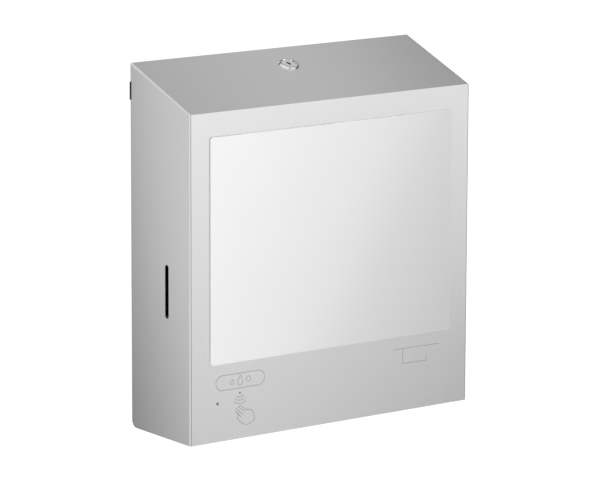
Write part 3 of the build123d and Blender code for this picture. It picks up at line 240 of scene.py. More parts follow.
def make_piece(name, grids, body, material, closed_rows=True, closed_columns=True):
    """One object from several grids of points: doubles at seams and poles are merged, open ends are closed,
    and faces turned outwards."""
    merge_distance, sharp_angle = 1e-7, np.radians(35)
    points, faces, start = [], [], 0
    flags = closed_rows if isinstance(closed_rows, list) else [closed_rows] * len(grids)
    for grid, wrap in zip(grids, flags):
        points.append(grid.reshape(-1, 3))
        faces.append(grid_faces(grid.shape[0], grid.shape[1], wrap, closed_columns) + start)
        start += grid.shape[0] * grid.shape[1]
    mesh = bpy.data.meshes.new(name)
    mesh.from_pydata(np.concatenate(points).tolist(), [], np.concatenate(faces).tolist())
    work = bmesh.new()
    work.from_mesh(mesh)
    bmesh.ops.remove_doubles(work, verts=work.verts, dist=merge_distance)
    bmesh.ops.holes_fill(work, edges=[e for e in work.edges if e.is_boundary], sides=0)
    bmesh.ops.recalc_face_normals(work, faces=work.faces)
    work.to_mesh(mesh)
    work.free()
    mesh.shade_smooth()
    mesh.set_sharp_from_angle(angle=sharp_angle)
    piece = bpy.data.objects.new(name, mesh)
    bpy.context.scene.collection.objects.link(piece)
    piece.data.materials.append(material)
    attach(piece, body)
    return piece


def arc(centre, radius, start, end, steps):
    """Points on a circle from one angle to another, in degrees."""
    t = np.radians(np.linspace(start, end, steps))
    return np.stack([centre[0] + radius * np.cos(t), centre[1] + radius * np.sin(t)], 1)


def rounded_curve(points, steps=8):
    """A smooth closed line through points: on each run a Catmull-Rom cubic of its two ends and their
    neighbours."""
    p = np.asarray(points, float)
    before, after, far = np.roll(p, 1, 0), np.roll(p, -1, 0), np.roll(p, -2, 0)
    t = np.linspace(0, 1, steps, endpoint=False)[None, :, None]
    a, b, c, d = before[:, None], p[:, None], after[:, None], far[:, None]
    curve = 0.5 * (2 * b + (c - a) * t + (2 * a - 5 * b + 4 * c - d) * t**2 + (3 * b - a - 3 * c + d) * t**3)
    return curve.reshape(-1, 2)


oval_centre = (-0.1305, 0.0682)
oval_half = 0.0341
oval_radius = 0.0087
oval = np.concatenate(
    [
        arc((oval_centre[0] + oval_half - oval_radius, oval_centre[1]), oval_radius, -90, 90, 25),
        arc((oval_centre[0] - oval_half + oval_radius, oval_centre[1]), oval_radius, 90, 270, 25),
    ]
)
drop_centre = (-0.1305, 0.0668)
drop_radius = 0.0036
drop_tip = (drop_centre[0], drop_centre[1] + 0.0082)
drop = np.concatenate([arc(drop_centre, drop_radius, 150, 390, 25), [drop_tip]])
bubbles = ((-0.1420, 0.0676, 0.0026), (-0.1190, 0.0688, 0.0031))
bubble_lines = [arc((x, z), radius, 0, 345, 24) for x, z, radius in bubbles]
wave_centre = (-0.1310, 0.0537)
wave_arcs = ((0.0051, 60), (0.0087, 46), (0.0126, 42))
waves = [arc(wave_centre, radius, 270 - half, 270 + half, 14) for radius, half in wave_arcs]

hand_points = [
    *((-136.6, 32.3), (-135.2, 36.4), (-131.8, 37.6), (-128.7, 38.2), (-125.6, 35.2), (-122.6, 32.9)),
    *((-117.6, 32.6), (-113.2, 29.4), (-111.4, 24.0), (-110.6, 19.8), (-115.2, 17.0), (-119.7, 15.2)),
    *((-125.6, 16.2), (-130.4, 19.6), (-134.4, 24.4), (-133.0, 28.6)),
]
hand_outline = rounded_curve(np.array(hand_points) / 1000)
finger_lines = [
    np.array([(-131.9, 37.0), (-128.2, 33.8), (-124.4, 30.6)]) / 1000,
    np.array([(-134.4, 34.4), (-130.4, 30.9), (-126.6, 27.4)]) / 1000,
    np.array([(-135.4, 31.0), (-132.2, 28.0), (-129.0, 24.9)]) / 1000,
]
towel_rail = np.array([(0.0905, 0.0751), (0.1585, 0.0745)])
towel_sheet = np.array([(0.1040, 0.0745), (0.1040, 0.0571), (0.1390, 0.0562), (0.1390, 0.0626)])


def speckled(name, values, first, second, scale, detail=2.0, roughness=None, depth=None):
    """A material whose colour runs from the first to the second by a fine noise. The noise may also set the
    range of its roughness, and stand depth metres high in relief."""
    material, tree, shader = start_material(name, values)
    speck = noise(tree, put(tree, "TexCoord").outputs["Object"], scale, detail)
    tree.links.new(blend_colours(tree, speck, first, second), shader.inputs["Base Color"])
    if roughness:
        tree.links.new(spread(tree, speck, *roughness), shader.inputs["Roughness"])
    if depth:
        relief(tree, shader, speck, depth)
    return material


etched_grey = speckled(
    "etched_lines",
    {"Metallic": 0.6},
    first=(0.30, 0.30, 0.30),
    second=(0.42, 0.42, 0.42),
    scale=900.0,
    detail=3.0,
    roughness=(0.45, 0.65),
    depth=0.00001,
)
closed_lines = [oval, drop, *bubble_lines, hand_outline]
open_lines = [*waves, *finger_lines, towel_rail, towel_sheet]
make_piece(
    "etched_signs",
    [
        *(ribbon(line, sign_line, True) for line in closed_lines),
        *(ribbon(line, sign_line, False) for line in open_lines),
    ],
    "hood",
    etched_grey,
    closed_rows=[True] * len(closed_lines) + [False] * len(open_lines),
)


def disc(centre, radius, rings=4, steps=32):
    """A low dome on the front: rings from the middle outwards, sinking to the steel at the rim."""
    t = np.linspace(0, 2 * np.pi, steps, endpoint=False)[:, None]
    r = np.linspace(0, radius, rings)[None, :]
    x = centre[0] + r * np.cos(t)
    z = lower_edge + centre[1] + r * np.sin(t)
    y = np.broadcast_to(sign_face + sign_sunk - (sign_rise + sign_sunk) * (1 - (r / radius) ** 4), x.shape)
    return np.stack([x, y, z], -1)


dot_radius = 0.0013
sensor_black = speckled("sensor_black", {"Roughness": 0.35}, (0.05, 0.05, 0.05), (0.10, 0.10, 0.10), 1200.0)
dot = disc(wave_centre, dot_radius)
make_piece("etched_dot", [dot], "hood", sensor_black, closed_columns=False)

# Mirror: 1.5 mm silvered glass with a ground edge, stuck to the hood's front with white foam tape.
# Only the face is silver: the edge is pale ground glass, darker in a mottled film where it faces up.
front_facing = -0.97
silvered, tree, shader = start_material("silvered_glass", {"Coat Weight": 0.3, "Coat Roughness": 0.01})
place = put(tree, "TexCoord")
facing = put(tree, "SeparateXYZ", {"Vector": place.outputs["Normal"]}).outputs["Y"]
silver = maths(tree, "LESS_THAN", facing, front_facing)
haze = noise(tree, place.outputs["Object"], 14.0, 4.0)
grind = noise(tree, place.outputs["Object"], 2200.0)
glass_colour = blend_colours(tree, haze, (0.92, 0.925, 0.925), (0.94, 0.945, 0.945))
ground_glass = blend_colours(tree, grind, (0.84, 0.86, 0.86), (0.94, 0.96, 0.96))
# The ground edge is made darker in a mottled film on faces that look up, which darkens its upper run.
upper_edge_darkening = use_group(
    tree,
    settled_dust,
    {"Place": place.outputs["Object"], "Facing": place.outputs["Normal"], "Amount": 0.8},
).outputs["Film"]
edge_colour = blend_colours(tree, upper_edge_darkening, ground_glass, (0.42, 0.41, 0.39))
tree.links.new(blend_colours(tree, silver, edge_colour, glass_colour), shader.inputs["Base Color"])
tree.links.new(silver, shader.inputs["Metallic"])
polish = spread(tree, silver, 0.3, 0.01)
smear = maths(tree, "MULTIPLY_ADD", haze, 0.01, polish)
tree.links.new(smear, shader.inputs["Roughness"])
wear(silvered, "mirror")

foam, tree, shader = start_material("foam_tape", {"Roughness": 0.9})
place = put(tree, "TexCoord")
cells = put(tree, "TexVoronoi", {"Vector": place.outputs["Object"], "Scale": 2500.0}).outputs["Distance"]
cell_tone = blend_colours(tree, cells, (0.84, 0.84, 0.82), (0.94, 0.94, 0.92))
tree.links.new(cell_tone, shader.inputs["Base Color"])
relief(tree, shader, cells, 0.0001)
wear(foam, "mirror_tape")

# Mirror seal: a bead of white sealant run round the gap between glass and steel, so that no water
# creeps behind the silver. A finger has drawn it hollow.
mirror_low, mirror_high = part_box("mirror")
tape_low, tape_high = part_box("mirror_tape")
glass_corner = 0.003
seal_inset = 0.0007
seal_half = 0.0004


def rounded_loop(low, high, radius):
    """Points round a rectangle whose corners are quarter circles, and the outward direction at each point."""
    line, outward = [], []
    left, right = low[0] + radius, high[0] - radius
    near, far = low[1] + radius, high[1] - radius
    for centre, start in (((right, far), 0), ((left, far), 90), ((left, near), 180), ((right, near), 270)):
        line.append(arc(centre, radius, start, start + 90, 9))
        outward.append(arc((0, 0), 1.0, start, start + 90, 9))
    return np.concatenate(line), np.concatenate(outward)


def seal_bead():
    """A bead in the gap behind the glass's edge: a section with a hollow outer face, carried round the
    rounded outline of the glass, just inside it."""
    line, out = rounded_loop(
        (mirror_low.x + seal_inset, mirror_low.z + seal_inset),
        (mirror_high.x - seal_inset, mirror_high.z - seal_inset),
        glass_corner - seal_inset,
    )
    section = np.array([(-1.0, 0.0), (1.0, 0.0), (0.6, 0.25), (0.45, 0.5), (0.6, 0.75), (1.0, 1.0), (-1.0, 1.0)])
    flat = line[:, None, :] + out[:, None, :] * section[None, :, :1] * seal_half
    depth = np.broadcast_to(tape_low.y + section[None, :, 1] * (tape_high.y - tape_low.y), flat.shape[:2])
    return np.stack([flat[..., 0], depth, flat[..., 1]], -1)


sealant = speckled(
    "white_sealant", {"Roughness": 0.5}, (0.84, 0.84, 0.83), (0.93, 0.93, 0.92), 300.0, 3.0, depth=0.00005
)
make_piece("mirror_seal", [seal_bead()], "hood", sealant)

# Lock: a plated barrel with a flange on the sloped top, a plug that turns in it, a nut that holds it to the
# sheet and a cam on its inner end. It was turned on a lathe, so its rings run round its own axis.
lock_low, lock_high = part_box("lock_body")
lock_joint = next(j for j in frame["joints"] if j["name"] == "lock_turn")
lock_axis = -Vector(lock_joint["axis"])
lock_origin = Vector(lock_joint["pos_m"])
lock_frame = Vector((0, 0, 1)).rotation_difference(lock_axis).to_matrix().to_4x4()
lock_frame.translation = lock_origin
to_lock = lock_frame.inverted()


def turned_metal(name, colour, roughness, centre_map, ring_fineness, depth, keyway=None):
    """Plated metal that was turned on a lathe: fine rings round its own axis, in colour and relief. A keyway
    (top, reach) is painted with shade: near black below its top and nearer the axis than its reach."""
    material, tree, shader = start_material(name, {"Metallic": 1.0})
    place = put(tree, "TexCoord")
    move, turn = centre_map.translation, centre_map.to_euler()
    own = put(tree, "Mapping", {"Vector": place.outputs["Object"], "Location": move, "Rotation": turn})
    parts = put(tree, "SeparateXYZ", {"Vector": own.outputs[0]})
    flat = put(tree, "CombineXYZ", {"X": parts.outputs["X"], "Y": parts.outputs["Y"]})
    radius = put(tree, "VectorMath", {0: flat.outputs[0]}, operation="LENGTH").outputs["Value"]
    rings = put(tree, "TexNoise", {"W": radius, "Scale": ring_fineness, "Detail": 3.0}, noise_dimensions="1D")
    rings = rings.outputs["Fac"]
    smudge = noise(tree, place.outputs["Object"], 160.0, 4.0)
    bright = [min(1.0, c * 1.04) for c in colour]
    dull = [c * 0.92 for c in colour]
    tone = blend_colours(tree, rings, dull, bright)
    tree.links.new(spread(tree, smudge, roughness * 0.7, roughness * 1.4), shader.inputs["Roughness"])
    # Painted shade: the keyway's walls and floor, a recess in the plug, are coloured near black for the shade in
    # the slot.
    if keyway:
        top, reach = keyway
        below = maths(tree, "LESS_THAN", parts.outputs["Z"], top)
        near = maths(tree, "LESS_THAN", radius, reach)
        inside = maths(tree, "MULTIPLY", below, near)
        tone = blend_colours(tree, inside, tone, (0.012, 0.012, 0.012))
    tree.links.new(tone, shader.inputs["Base Color"])
    relief(tree, shader, rings, depth)
    return material


# Painted shade in the keyway: below this height over the plug's face, and within this reach of the axis, the
# plug is coloured near black.
keyway = (0.0011, 0.0045)
flange_chrome = turned_metal("lock_flange_chrome", (0.80, 0.80, 0.80), 0.10, to_lock, 4000.0, 0.000004)
plug_chrome = turned_metal("lock_plug_chrome", (0.92, 0.92, 0.92), 0.16, to_lock, 5000.0, 0.000008, keyway)
wear(flange_chrome, "lock_body", "lock_nut", "lock_cam", "cam_screw")
wear(plug_chrome, "lock_plug")

# Keyway shade plate: a near-black matt plate on the plug's face, a dark sheet put where the keyway's slot
# is in shade, so painted shade. It is slightly domed, with a groove along its middle.
shade_plate_half = (0.0035, 0.0019)
shade_plate_turn = np.radians(114)
plug_face = 0.0012
shade_plate_sunk, shade_plate_dome = 0.00003, 0.00012
groove_depth, groove_half, groove_reach = 0.0001, 0.0003, 0.0028


def keyway_shade_points():
    """A domed oblong on the plug's face: over the share q of its superellipse |a|^4 + |b|^4 = 1 it rises by
    shade_plate_dome (1 - q^4), and a groove groove_depth exp(-(b / groove_half)^2) runs along its middle. The
    lock's frame carries it into place."""
    t = np.linspace(0, 2 * np.pi, 48, endpoint=False)[:, None]
    q = np.linspace(0, 1, 9)[None, :]
    a = q * shade_plate_half[0] * np.sign(np.cos(t)) * abs(np.cos(t)) ** 0.5
    b = q * shade_plate_half[1] * np.sign(np.sin(t)) * abs(np.sin(t)) ** 0.5
    groove = groove_depth * np.exp(-((b / groove_half) ** 2)) * (abs(a) < groove_reach)
    rise = plug_face - shade_plate_sunk + shade_plate_dome * (1 - q**4) - groove
    x = a * np.cos(shade_plate_turn) - b * np.sin(shade_plate_turn)
    y = a * np.sin(shade_plate_turn) + b * np.cos(shade_plate_turn)
    local = np.stack([x, y, rise + 0 * x], -1)
    turn = np.array(lock_frame.to_3x3())
    return local @ turn.T + np.array(lock_origin)


# Painted shade: a near-black matt colour for the plate that stands for the keyway's shaded slot.
keyway_shade_black = speckled(
    "key_shutter",
    {"Roughness": 0.6, "Specular IOR Level": 0.1},
    first=(0.004, 0.004, 0.004),
    second=(0.012, 0.012, 0.012),
    scale=1500.0,
)
shade_plate_shape = keyway_shade_points()
make_piece("key_shutter", [shade_plate_shape], "lock_plug", keyway_shade_black, closed_columns=False)

# Back plate, pan, towel guides, keeper and pump plate: stainless sheet left with its dull mill finish.
# The pan shows from below, the rest only with the hood open. Pins, spacers and shafts are turned steel.
mill_sheet = brushed_metal("mill_finish_sheet", (0.62, 0.62, 0.62), 0.38, (160.0, 160.0, 14.0), 0.07, 0.00002)
wear(mill_sheet, "back_plate", "towel_guide_left", "towel_guide_right", "lock_keeper", "pump_plate")
pan_sheet = brushed_metal("pan_mill_sheet", (0.62, 0.62, 0.62), 0.38, (14.0, 160.0, 160.0), 0.07, 0.00002)
wear(pan_sheet, "base_pan")
pin_grey, pin_gloss = (0.66, 0.66, 0.65), 0.24
turned_pins = brushed_metal("turned_pin_steel", pin_grey, pin_gloss, (60.0, 2500.0, 2500.0), 0.05, 0.000006)
wear(turned_pins, "hinge_pins")
turned_rods = brushed_metal("turned_rod_steel", pin_grey, pin_gloss, (2500.0, 60.0, 2500.0), 0.05, 0.000006)
wear(turned_rods, "plate_spacers", "idler_axle", "roller_pins", "motor_shaft")

# Hinge welds: each hinge pin is welded in the hood's side, with a low rippled bead round it inside.
# The bead has the dull straw tint that heat leaves on stainless steel.
pin_low, pin_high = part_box("hinge_pins")
hinge_centre = ((pin_low.y + pin_high.y) / 2, (pin_low.z + pin_high.z) / 2)
pin_radius = (pin_high.z - pin_low.z) / 2
bead_width = 0.0015
bead_height = 0.00045
bead_overlap, bead_sunk = 0.0002, 0.0001
ripple, waver = 0.12, 0.06


def weld_bead(x, inward):
    """A ring round a pin: across its width the bead rises as a half ellipse, and round the pin cosines of 26
    and 13 periods make the ripples of the welding and its wavering edge."""
    t = np.linspace(0, 2 * np.pi, 104, endpoint=False)[:, None]
    w = np.linspace(0, 1, 9)[None, :]
    r = pin_radius - bead_overlap + bead_width * w * (1 + waver * np.cos(13 * t))
    arch = np.sqrt(np.maximum(0, 1 - (2 * w - 1) ** 2))
    rise = bead_height * arch * (1 + ripple * np.cos(26 * t)) / (1 + ripple)
    y, z = hinge_centre[0] + r * np.cos(t), hinge_centre[1] + r * np.sin(t)
    return np.stack([x + inward * (rise - bead_sunk), y, z], -1)


weld_metal = brushed_metal("weld_metal", (0.52, 0.50, 0.47), 0.42, (700.0, 700.0, 700.0), 0.16, 0.00002)
make_piece(
    "pin_weld_beads",
    [weld_bead(pin_low.x, 1), weld_bead(pin_high.x, -1)],
    "hood",
    weld_metal,
    closed_columns=False,
)

# Screws: zinc-plated pan heads with cross recesses hold the plates, the pump's cover and the lock's
# keeper, thirteen in all.
cross_half, cross_reach, cross_turn = 0.17, 0.66, 0.5
cross_side, cross_end = 0.05, 0.08
head_sunk = 0.00003


def screw_head(x, face, z, radius, height, recess):
    """A head on a face turned to the front: over the share q of its radius it rises by height (1 - 0.3 q^2),
    and drops away over its last tenth. Where a cross of half width cross_half and half length cross_reach,
    in shares of the radius, covers a point, the surface sinks by recess."""
    t = np.linspace(0, 2 * np.pi, 56, endpoint=False)[:, None]
    q = np.array([0, 0.08, 0.14, 0.2, 0.28, 0.36, 0.45, 0.54, 0.6, 0.66, 0.76, 0.86, 0.93, 0.97, 1.0])[None, :]
    along, up = q * np.cos(t + cross_turn), q * np.sin(t + cross_turn)
    arm = np.minimum(1, np.maximum(0, (cross_half - np.minimum(abs(along), abs(up))) / cross_side))
    arm *= np.minimum(1, np.maximum(0, (cross_reach - np.maximum(abs(along), abs(up))) / cross_end))
    rise = height * (1 - 0.3 * q**2) * np.sqrt(np.maximum(0, 1 - np.maximum(0, (q - 0.9) / 0.1) ** 2))
    y = face + head_sunk - rise + recess * arm
    return np.stack([x + radius * q * np.cos(t), y, z + radius * q * np.sin(t)], -1)


spacer_low, spacer_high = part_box("plate_spacers")
pump_plate_low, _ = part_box("pump_plate")
gear_plate_low, gear_plate_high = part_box("gear_plate")
cover_low, cover_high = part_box("pump_cover")
keeper_low, keeper_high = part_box("lock_keeper")
post_inset = 0.003
corner_inset = 0.006
cover_inset = 0.0019
keeper_sheet, keeper_in = 0.0012, 0.0288
# Radius, height and recess of each kind of head.
plate_head = (0.0029, 0.0018, 0.0009)
keeper_head = (0.0038, 0.0022, 0.0011)
cover_head = (0.0017, 0.0011, 0.0006)
heads = []
for x in (spacer_low.x + post_inset, spacer_high.x - post_inset):
    for z in (spacer_low.z + post_inset, spacer_high.z - post_inset):
        heads.append(screw_head(x, pump_plate_low.y, z, *plate_head))
for x in (gear_plate_low.x + corner_inset, gear_plate_high.x - corner_inset):
    for z in (gear_plate_low.z + corner_inset, gear_plate_high.z - corner_inset):
        heads.append(screw_head(x, gear_plate_low.y, z, *plate_head))
keeper_middle = (keeper_low.z + keeper_high.z) / 2
heads.append(screw_head(keeper_low.x + keeper_in, keeper_high.y - keeper_sheet, keeper_middle, *keeper_head))
cover_middle = (cover_low.z + cover_high.z) / 2
cover_half = (cover_high.z - cover_low.z) / 2
cover_turn = cover_high.x - cover_half
for z in (cover_low.z + cover_inset, cover_high.z - cover_inset):
    heads.append(screw_head(cover_low.x + cover_inset, cover_low.y, z, *cover_head))
reach = cover_half - cover_inset
for angle in (-50, 50):
    x = cover_turn + reach * np.cos(np.radians(angle))
    z = cover_middle + reach * np.sin(np.radians(angle))
    heads.append(screw_head(x, cover_low.y, z, *cover_head))
zinc_plate = brushed_metal(
    "zinc_plated_screws", (0.68, 0.68, 0.66), 0.3, (900.0, 900.0, 900.0), 0.07, 0.000006
)
make_piece("plate_screws", heads, "frame", zinc_plate, closed_columns=False)

# Rotor caps: low turned caps that close the pump rotor's shaft and the ends of its three roller pins.
# The shaft's cap has a shallow cross, and those of the pins are plain.
rotor_low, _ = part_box("pump_rotor")
roller_low, roller_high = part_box("roller_pins")
rotor_joint = next(j for j in frame["joints"] if j["name"] == "rotor_spin")
rotor_x, _, rotor_z = rotor_joint["pos_m"]
roller_orbit = 0.014
shaft_cap = (0.0042, 0.0005, 0.0003)
pin_cap = (0.0018, 0.0004, 0.0)
caps = [screw_head(rotor_x, rotor_low.y, rotor_z, *shaft_cap)]
for angle in (90, 210, 330):
    turn = np.radians(angle)
    x, z = rotor_x + roller_orbit * np.cos(turn), rotor_z + roller_orbit * np.sin(turn)
    caps.append(screw_head(x, rotor_low.y, z, *pin_cap))
make_piece("rotor_caps", caps, "pump_rotor", turned_rods, closed_columns=False)

# Moulded parts: chassis, boxes and housings in grey and black plastic, gears and rollers in white nylon,
# and buffers and plug in rubber. All have a fine spark-eroded texture, and dust settles on their tops.


def moulded(name, colour, roughness, texture, depth, dust=0.25, extra=None):
    """Moulded plastic or rubber: a fine texture in relief, slow unevenness in tone, and a film of dust."""
    material, tree, shader = start_material(name, {"IOR": 1.5, **(extra or {})})
    place = put(tree, "TexCoord")
    fine = noise(tree, place.outputs["Object"], texture, 3.0)
    slow = noise(tree, place.outputs["Object"], 25.0, 3.0)
    dark = [c * 0.88 for c in colour]
    light = [min(1.0, c * 1.1 + 0.004) for c in colour]
    tone = blend_colours(tree, slow, dark, light)
    film = use_group(
        tree,
        settled_dust,
        {"Place": place.outputs["Object"], "Facing": place.outputs["Normal"], "Amount": dust},
    ).outputs["Film"]
    tree.links.new(blend_colours(tree, film, tone, (0.55, 0.54, 0.52)), shader.inputs["Base Color"])
    gloss = spread(tree, fine, roughness * 0.85, min(1.0, roughness * 1.2))
    tree.links.new(gloss, shader.inputs["Roughness"])
    relief(tree, shader, fine, depth)
    return material


grey_moulding = moulded("grey_moulding", (0.34, 0.35, 0.36), 0.5, 2600.0, 0.00004)
black_moulding = moulded("black_moulding", (0.035, 0.035, 0.038), 0.45, 2600.0, 0.00004)
black_rubber = moulded("black_rubber", (0.022, 0.022, 0.022), 0.72, 1800.0, 0.00003, dust=0.12)
white_nylon = moulded("white_nylon", (0.80, 0.79, 0.75), 0.42, 3000.0, 0.00001, dust=0.05)
wear(grey_moulding, "pump_chassis", "gear_plate", "battery_box", "battery_door", "pump_housing")
wear(black_moulding, "sensor_body", "switch_body", "rocker", "soap_nozzle")
wear(black_moulding, "tank_socket", "tank_lid", "pump_rotor", "mouth_ring")
wear(black_rubber, "hood_buffers", "cable_plug", "nozzle_valve")
wear(white_nylon, "hinge_bushes", "rotor_gear", "idler_gear")
wear(white_nylon, "pump_roller_1", "pump_roller_2", "pump_roller_3")

# Soap tank: moulded in smoke-tinted clear plastic, which lets the level show through the hood's slot.
# The mould's parting line stands as a low seam round it.
smoke_clear = moulded(
    "smoke_tank", (0.05, 0.05, 0.055), 0.22, 900.0, 0.00002, dust=0.1, extra={"Transmission Weight": 0.35}
)
wear(smoke_clear, "soap_tank")
tank_low, tank_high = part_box("soap_tank")
tank_radius = 0.008
tank_half = 0.1104 / 2
seam_z = -0.048
seam_half = 0.0006
seam_rise = 0.0003


def seam_ring():
    """The parting line of the mould: a low rounded rib carried round the tank's outline, a rectangle whose
    corners are quarter circles."""
    middle_x = (tank_low.x + tank_high.x) / 2
    line, out = rounded_loop(
        (middle_x - tank_half, tank_low.y),
        (middle_x + tank_half, tank_high.y),
        tank_radius,
    )
    across = np.array([(-0.4, -1.0), (0.6, -0.7), (1.0, 0.0), (0.6, 0.7), (-0.4, 1.0)])
    flat = line[:, None, :] + out[:, None, :] * across[None, :, :1] * seam_rise
    height = np.broadcast_to(seam_z + across[None, :, 1] * seam_half, flat.shape[:2])
    return np.stack([flat[..., 0], flat[..., 1], height], -1)


make_piece("tank_seam", [seam_ring()], "soap_tank", smoke_clear)

# Lid ribs: seven low ribs on the grip of the tank's lid, moulded with it, so that a wet finger can
# lift it.
lid_low, lid_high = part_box("tank_lid")
grip_y = lid_low.y + 0.005
grip_top = 0.0208
rib_sunk, rib_height, rib_pitch = 0.00004, 0.0005, 0.0036
rib_half = (0.0007, 0.0021)


def rib(x):
    """A low rib lying along the depth: the upper half of an ellipsoid, rib_height high over the half axes
    rib_half."""
    t = np.linspace(0, 2 * np.pi, 20, endpoint=False)[:, None]
    q = np.sin(np.linspace(0, np.pi / 2, 6))[None, :]
    z = grip_top - rib_sunk + rib_height * np.sqrt(np.maximum(0, 1 - q**2)) + 0 * t
    return np.stack([x + rib_half[0] * q * np.cos(t), grip_y + rib_half[1] * q * np.sin(t), z], -1)


lid_middle = (lid_low.x + lid_high.x) / 2
make_piece(
    "lid_grip_ribs",
    [rib(lid_middle + rib_pitch * step) for step in (-3, -2, -1, 0, 1, 2, 3)],
    "tank_lid",
    black_moulding,
    closed_columns=False,
)

# Pump cover and tube: a clear moulded cover over the rotor, and a milky silicone tube that comes down from
# the tank, is pressed flat round the race by the rollers, and goes down to the nozzle.
clear_moulding = moulded(
    "clear_cover", (0.92, 0.94, 0.95), 0.08, 700.0, 0.000004, dust=0.04, extra={"Transmission Weight": 0.92}
)
wear(clear_moulding, "pump_cover")
silicone = moulded(
    "silicone_tube", (0.80, 0.78, 0.72), 0.35, 1500.0, 0.00001, dust=0.03, extra={"Transmission Weight": 0.3}
)
hose_low, hose_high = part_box("pump_hose")
hose_y = (hose_low.y + hose_high.y) / 2
hose_round = 0.003
hose_flat = 0.0015
hose_wide = 0.0041
hose_orbit = 0.02175
hose_bend = 0.008
press_lead = 0.002
flat_power = 4.5
leg_x = hose_low.x + hose_round
lead_x = leg_x + hose_bend


def hose_surface():
    """The hose's skin: a section carried along the middle line of leg, bend, lead and half circle. The
    section is |a / A|^n + |b / B|^n = 1, round on the legs (n = 2) and pressed flat along the race
    (n = flat_power)."""
    upper, lower = rotor_z + hose_orbit, rotor_z - hose_orbit
    leg_steps = np.linspace(0, 1, 7)[:-1, None]
    half = np.concatenate(
        [
            [leg_x, hose_high.z] + leg_steps * [0, upper + hose_bend - hose_high.z],
            arc((lead_x, upper + hose_bend), hose_bend, 180, 270, 13)[:-1],
            [lead_x, upper] + np.linspace(0, 1, 9)[:-1, None] * [rotor_x - lead_x, 0],
            arc((rotor_x, rotor_z), hose_orbit, 90, -90, 57),
            [rotor_x, lower] + np.linspace(0, 1, 9)[1:, None] * [lead_x - rotor_x, 0],
            arc((lead_x, lower - hose_bend), hose_bend, 90, 180, 13)[1:],
            [leg_x, lower - hose_bend] + (1 - leg_steps[::-1]) * [0, hose_low.z - lower + hose_bend],
        ]
    )
    run = np.gradient(half, axis=0)
    run /= np.linalg.norm(run, axis=1)[:, None]
    side = np.stack([-run[:, 1], run[:, 0]], 1)[:, None, :]
    pressed = np.clip((half[:, 0] - lead_x) / (rotor_x - press_lead - lead_x), 0, 1)
    pressed = (pressed * pressed * (3 - 2 * pressed))[:, None]
    power = 2 / (2 + (flat_power - 2) * pressed)
    u = np.linspace(0, 2 * np.pi, 40, endpoint=False)[None, :]
    a = (hose_round + (hose_wide - hose_round) * pressed) * np.sign(np.cos(u)) * abs(np.cos(u)) ** power
    b = (hose_round + (hose_flat - hose_round) * pressed) * np.sign(np.sin(u)) * abs(np.sin(u)) ** power
    flat = half[:, None, :] + side * b[..., None]
    return np.stack([flat[..., 0], hose_y + a, flat[..., 1]], -1)


pump_tube = make_piece("pump_tube", [hose_surface()], "frame", silicone, closed_rows=False)
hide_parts("pump_hose")

# Windows: the status light's lens in the hood's front, and two dark sensor windows in the pan's
# underside. Each of those two sits back in a rounded rim.
dark_window = moulded("dark_window", (0.075, 0.070, 0.070), 0.2, 1500.0, 0.000002, dust=0.02)
wear(dark_window, "sensor_lenses")
lens_window = moulded("lens_window", (0.17, 0.165, 0.16), 0.25, 1500.0, 0.000002, dust=0.02)
wear(lens_window, "status_lens")
window_low, window_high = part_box("sensor_lenses")
window_radius = (window_high.y - window_low.y) / 2
window_y = (window_high.y + window_low.y) / 2
window_recess = 0.0012
bezel_reach = np.array([0.00006, 0.00006, 0.0002, 0.0006, 0.0011, 0.0013, 0.0013, 0.0006])
bezel_drop = np.array([0.0, 0.0006, 0.0008, 0.00085, 0.0007, 0.0004, 0.0, 0.0])


def bezel(x):
    """A rounded ring under the pan round one window: a closed section of eight points, turned about the
    window's axis."""
    t = np.linspace(0, 2 * np.pi, 56, endpoint=False)[:, None]
    r = window_radius + bezel_reach[None, :]
    z = window_high.z - window_recess - bezel_drop[None, :] + 0 * t
    return np.stack([x + r * np.cos(t), window_y + r * np.sin(t), z], -1)


make_piece(
    "sensor_bezels",
    [bezel(window_low.x + window_radius), bezel(window_high.x - window_radius)],
    "frame",
    black_moulding,
)

# Electrics: a zinc-plated motor can, turned brass for pinion, bushes and contacts, a green board, and
# cells in dark blue sleeves.
zinc_can = brushed_metal("zinc_motor_can", (0.60, 0.60, 0.61), 0.34, (500.0, 40.0, 500.0), 0.06, 0.00001)
wear(zinc_can, "pump_motor")
brass = brushed_metal("turned_brass", (0.74, 0.58, 0.28), 0.26, (1500.0, 90.0, 1500.0), 0.06, 0.000008)
wear(brass, "shaft_bushes", "battery_contacts", "motor_pinion")
solder_mask = moulded("solder_mask", (0.02, 0.16, 0.08), 0.25, 1500.0, 0.000006, dust=0.08)
wear(solder_mask, "control_board")
cell_sleeve = moulded("cell_sleeve", (0.08, 0.10, 0.14), 0.3, 800.0, 0.000004, dust=0.03)
wear(cell_sleeve, "battery_cells")

# Floor: white paper well below the wall-hung object. Its underside lets camera rays through, so that the
# object also shows from below.
floor_drop = 0.9
floor_half = 14.0
paper_glow = 0.35
white_paper, tree, shader = start_material(
    "white_floor", {"Base Color": (0.93, 0.93, 0.93, 1), "Roughness": 0.9, "Emission Color": (1, 1, 1, 1)}
)
camera_ray = put(tree, "LightPath").outputs["Is Camera Ray"]
tree.links.new(maths(tree, "MULTIPLY", camera_ray, paper_glow), shader.inputs["Emission Strength"])
underside = put(tree, "NewGeometry").outputs["Backfacing"]
open_below = put(tree, "MixShader", {0: maths(tree, "MULTIPLY", camera_ray, underside)})
tree.links.new(shader.outputs[0], open_below.inputs[1])
tree.links.new(put(tree, "BsdfTransparent").outputs[0], open_below.inputs[2])
tree.links.new(open_below.outputs[0], tree.nodes["Material Output"].inputs["Surface"])
floor_mesh = bpy.data.meshes.new("floor")
corners = [(x * floor_half, y * floor_half, -floor_drop) for x, y in ((-1, -1), (1, -1), (1, 1), (-1, 1))]
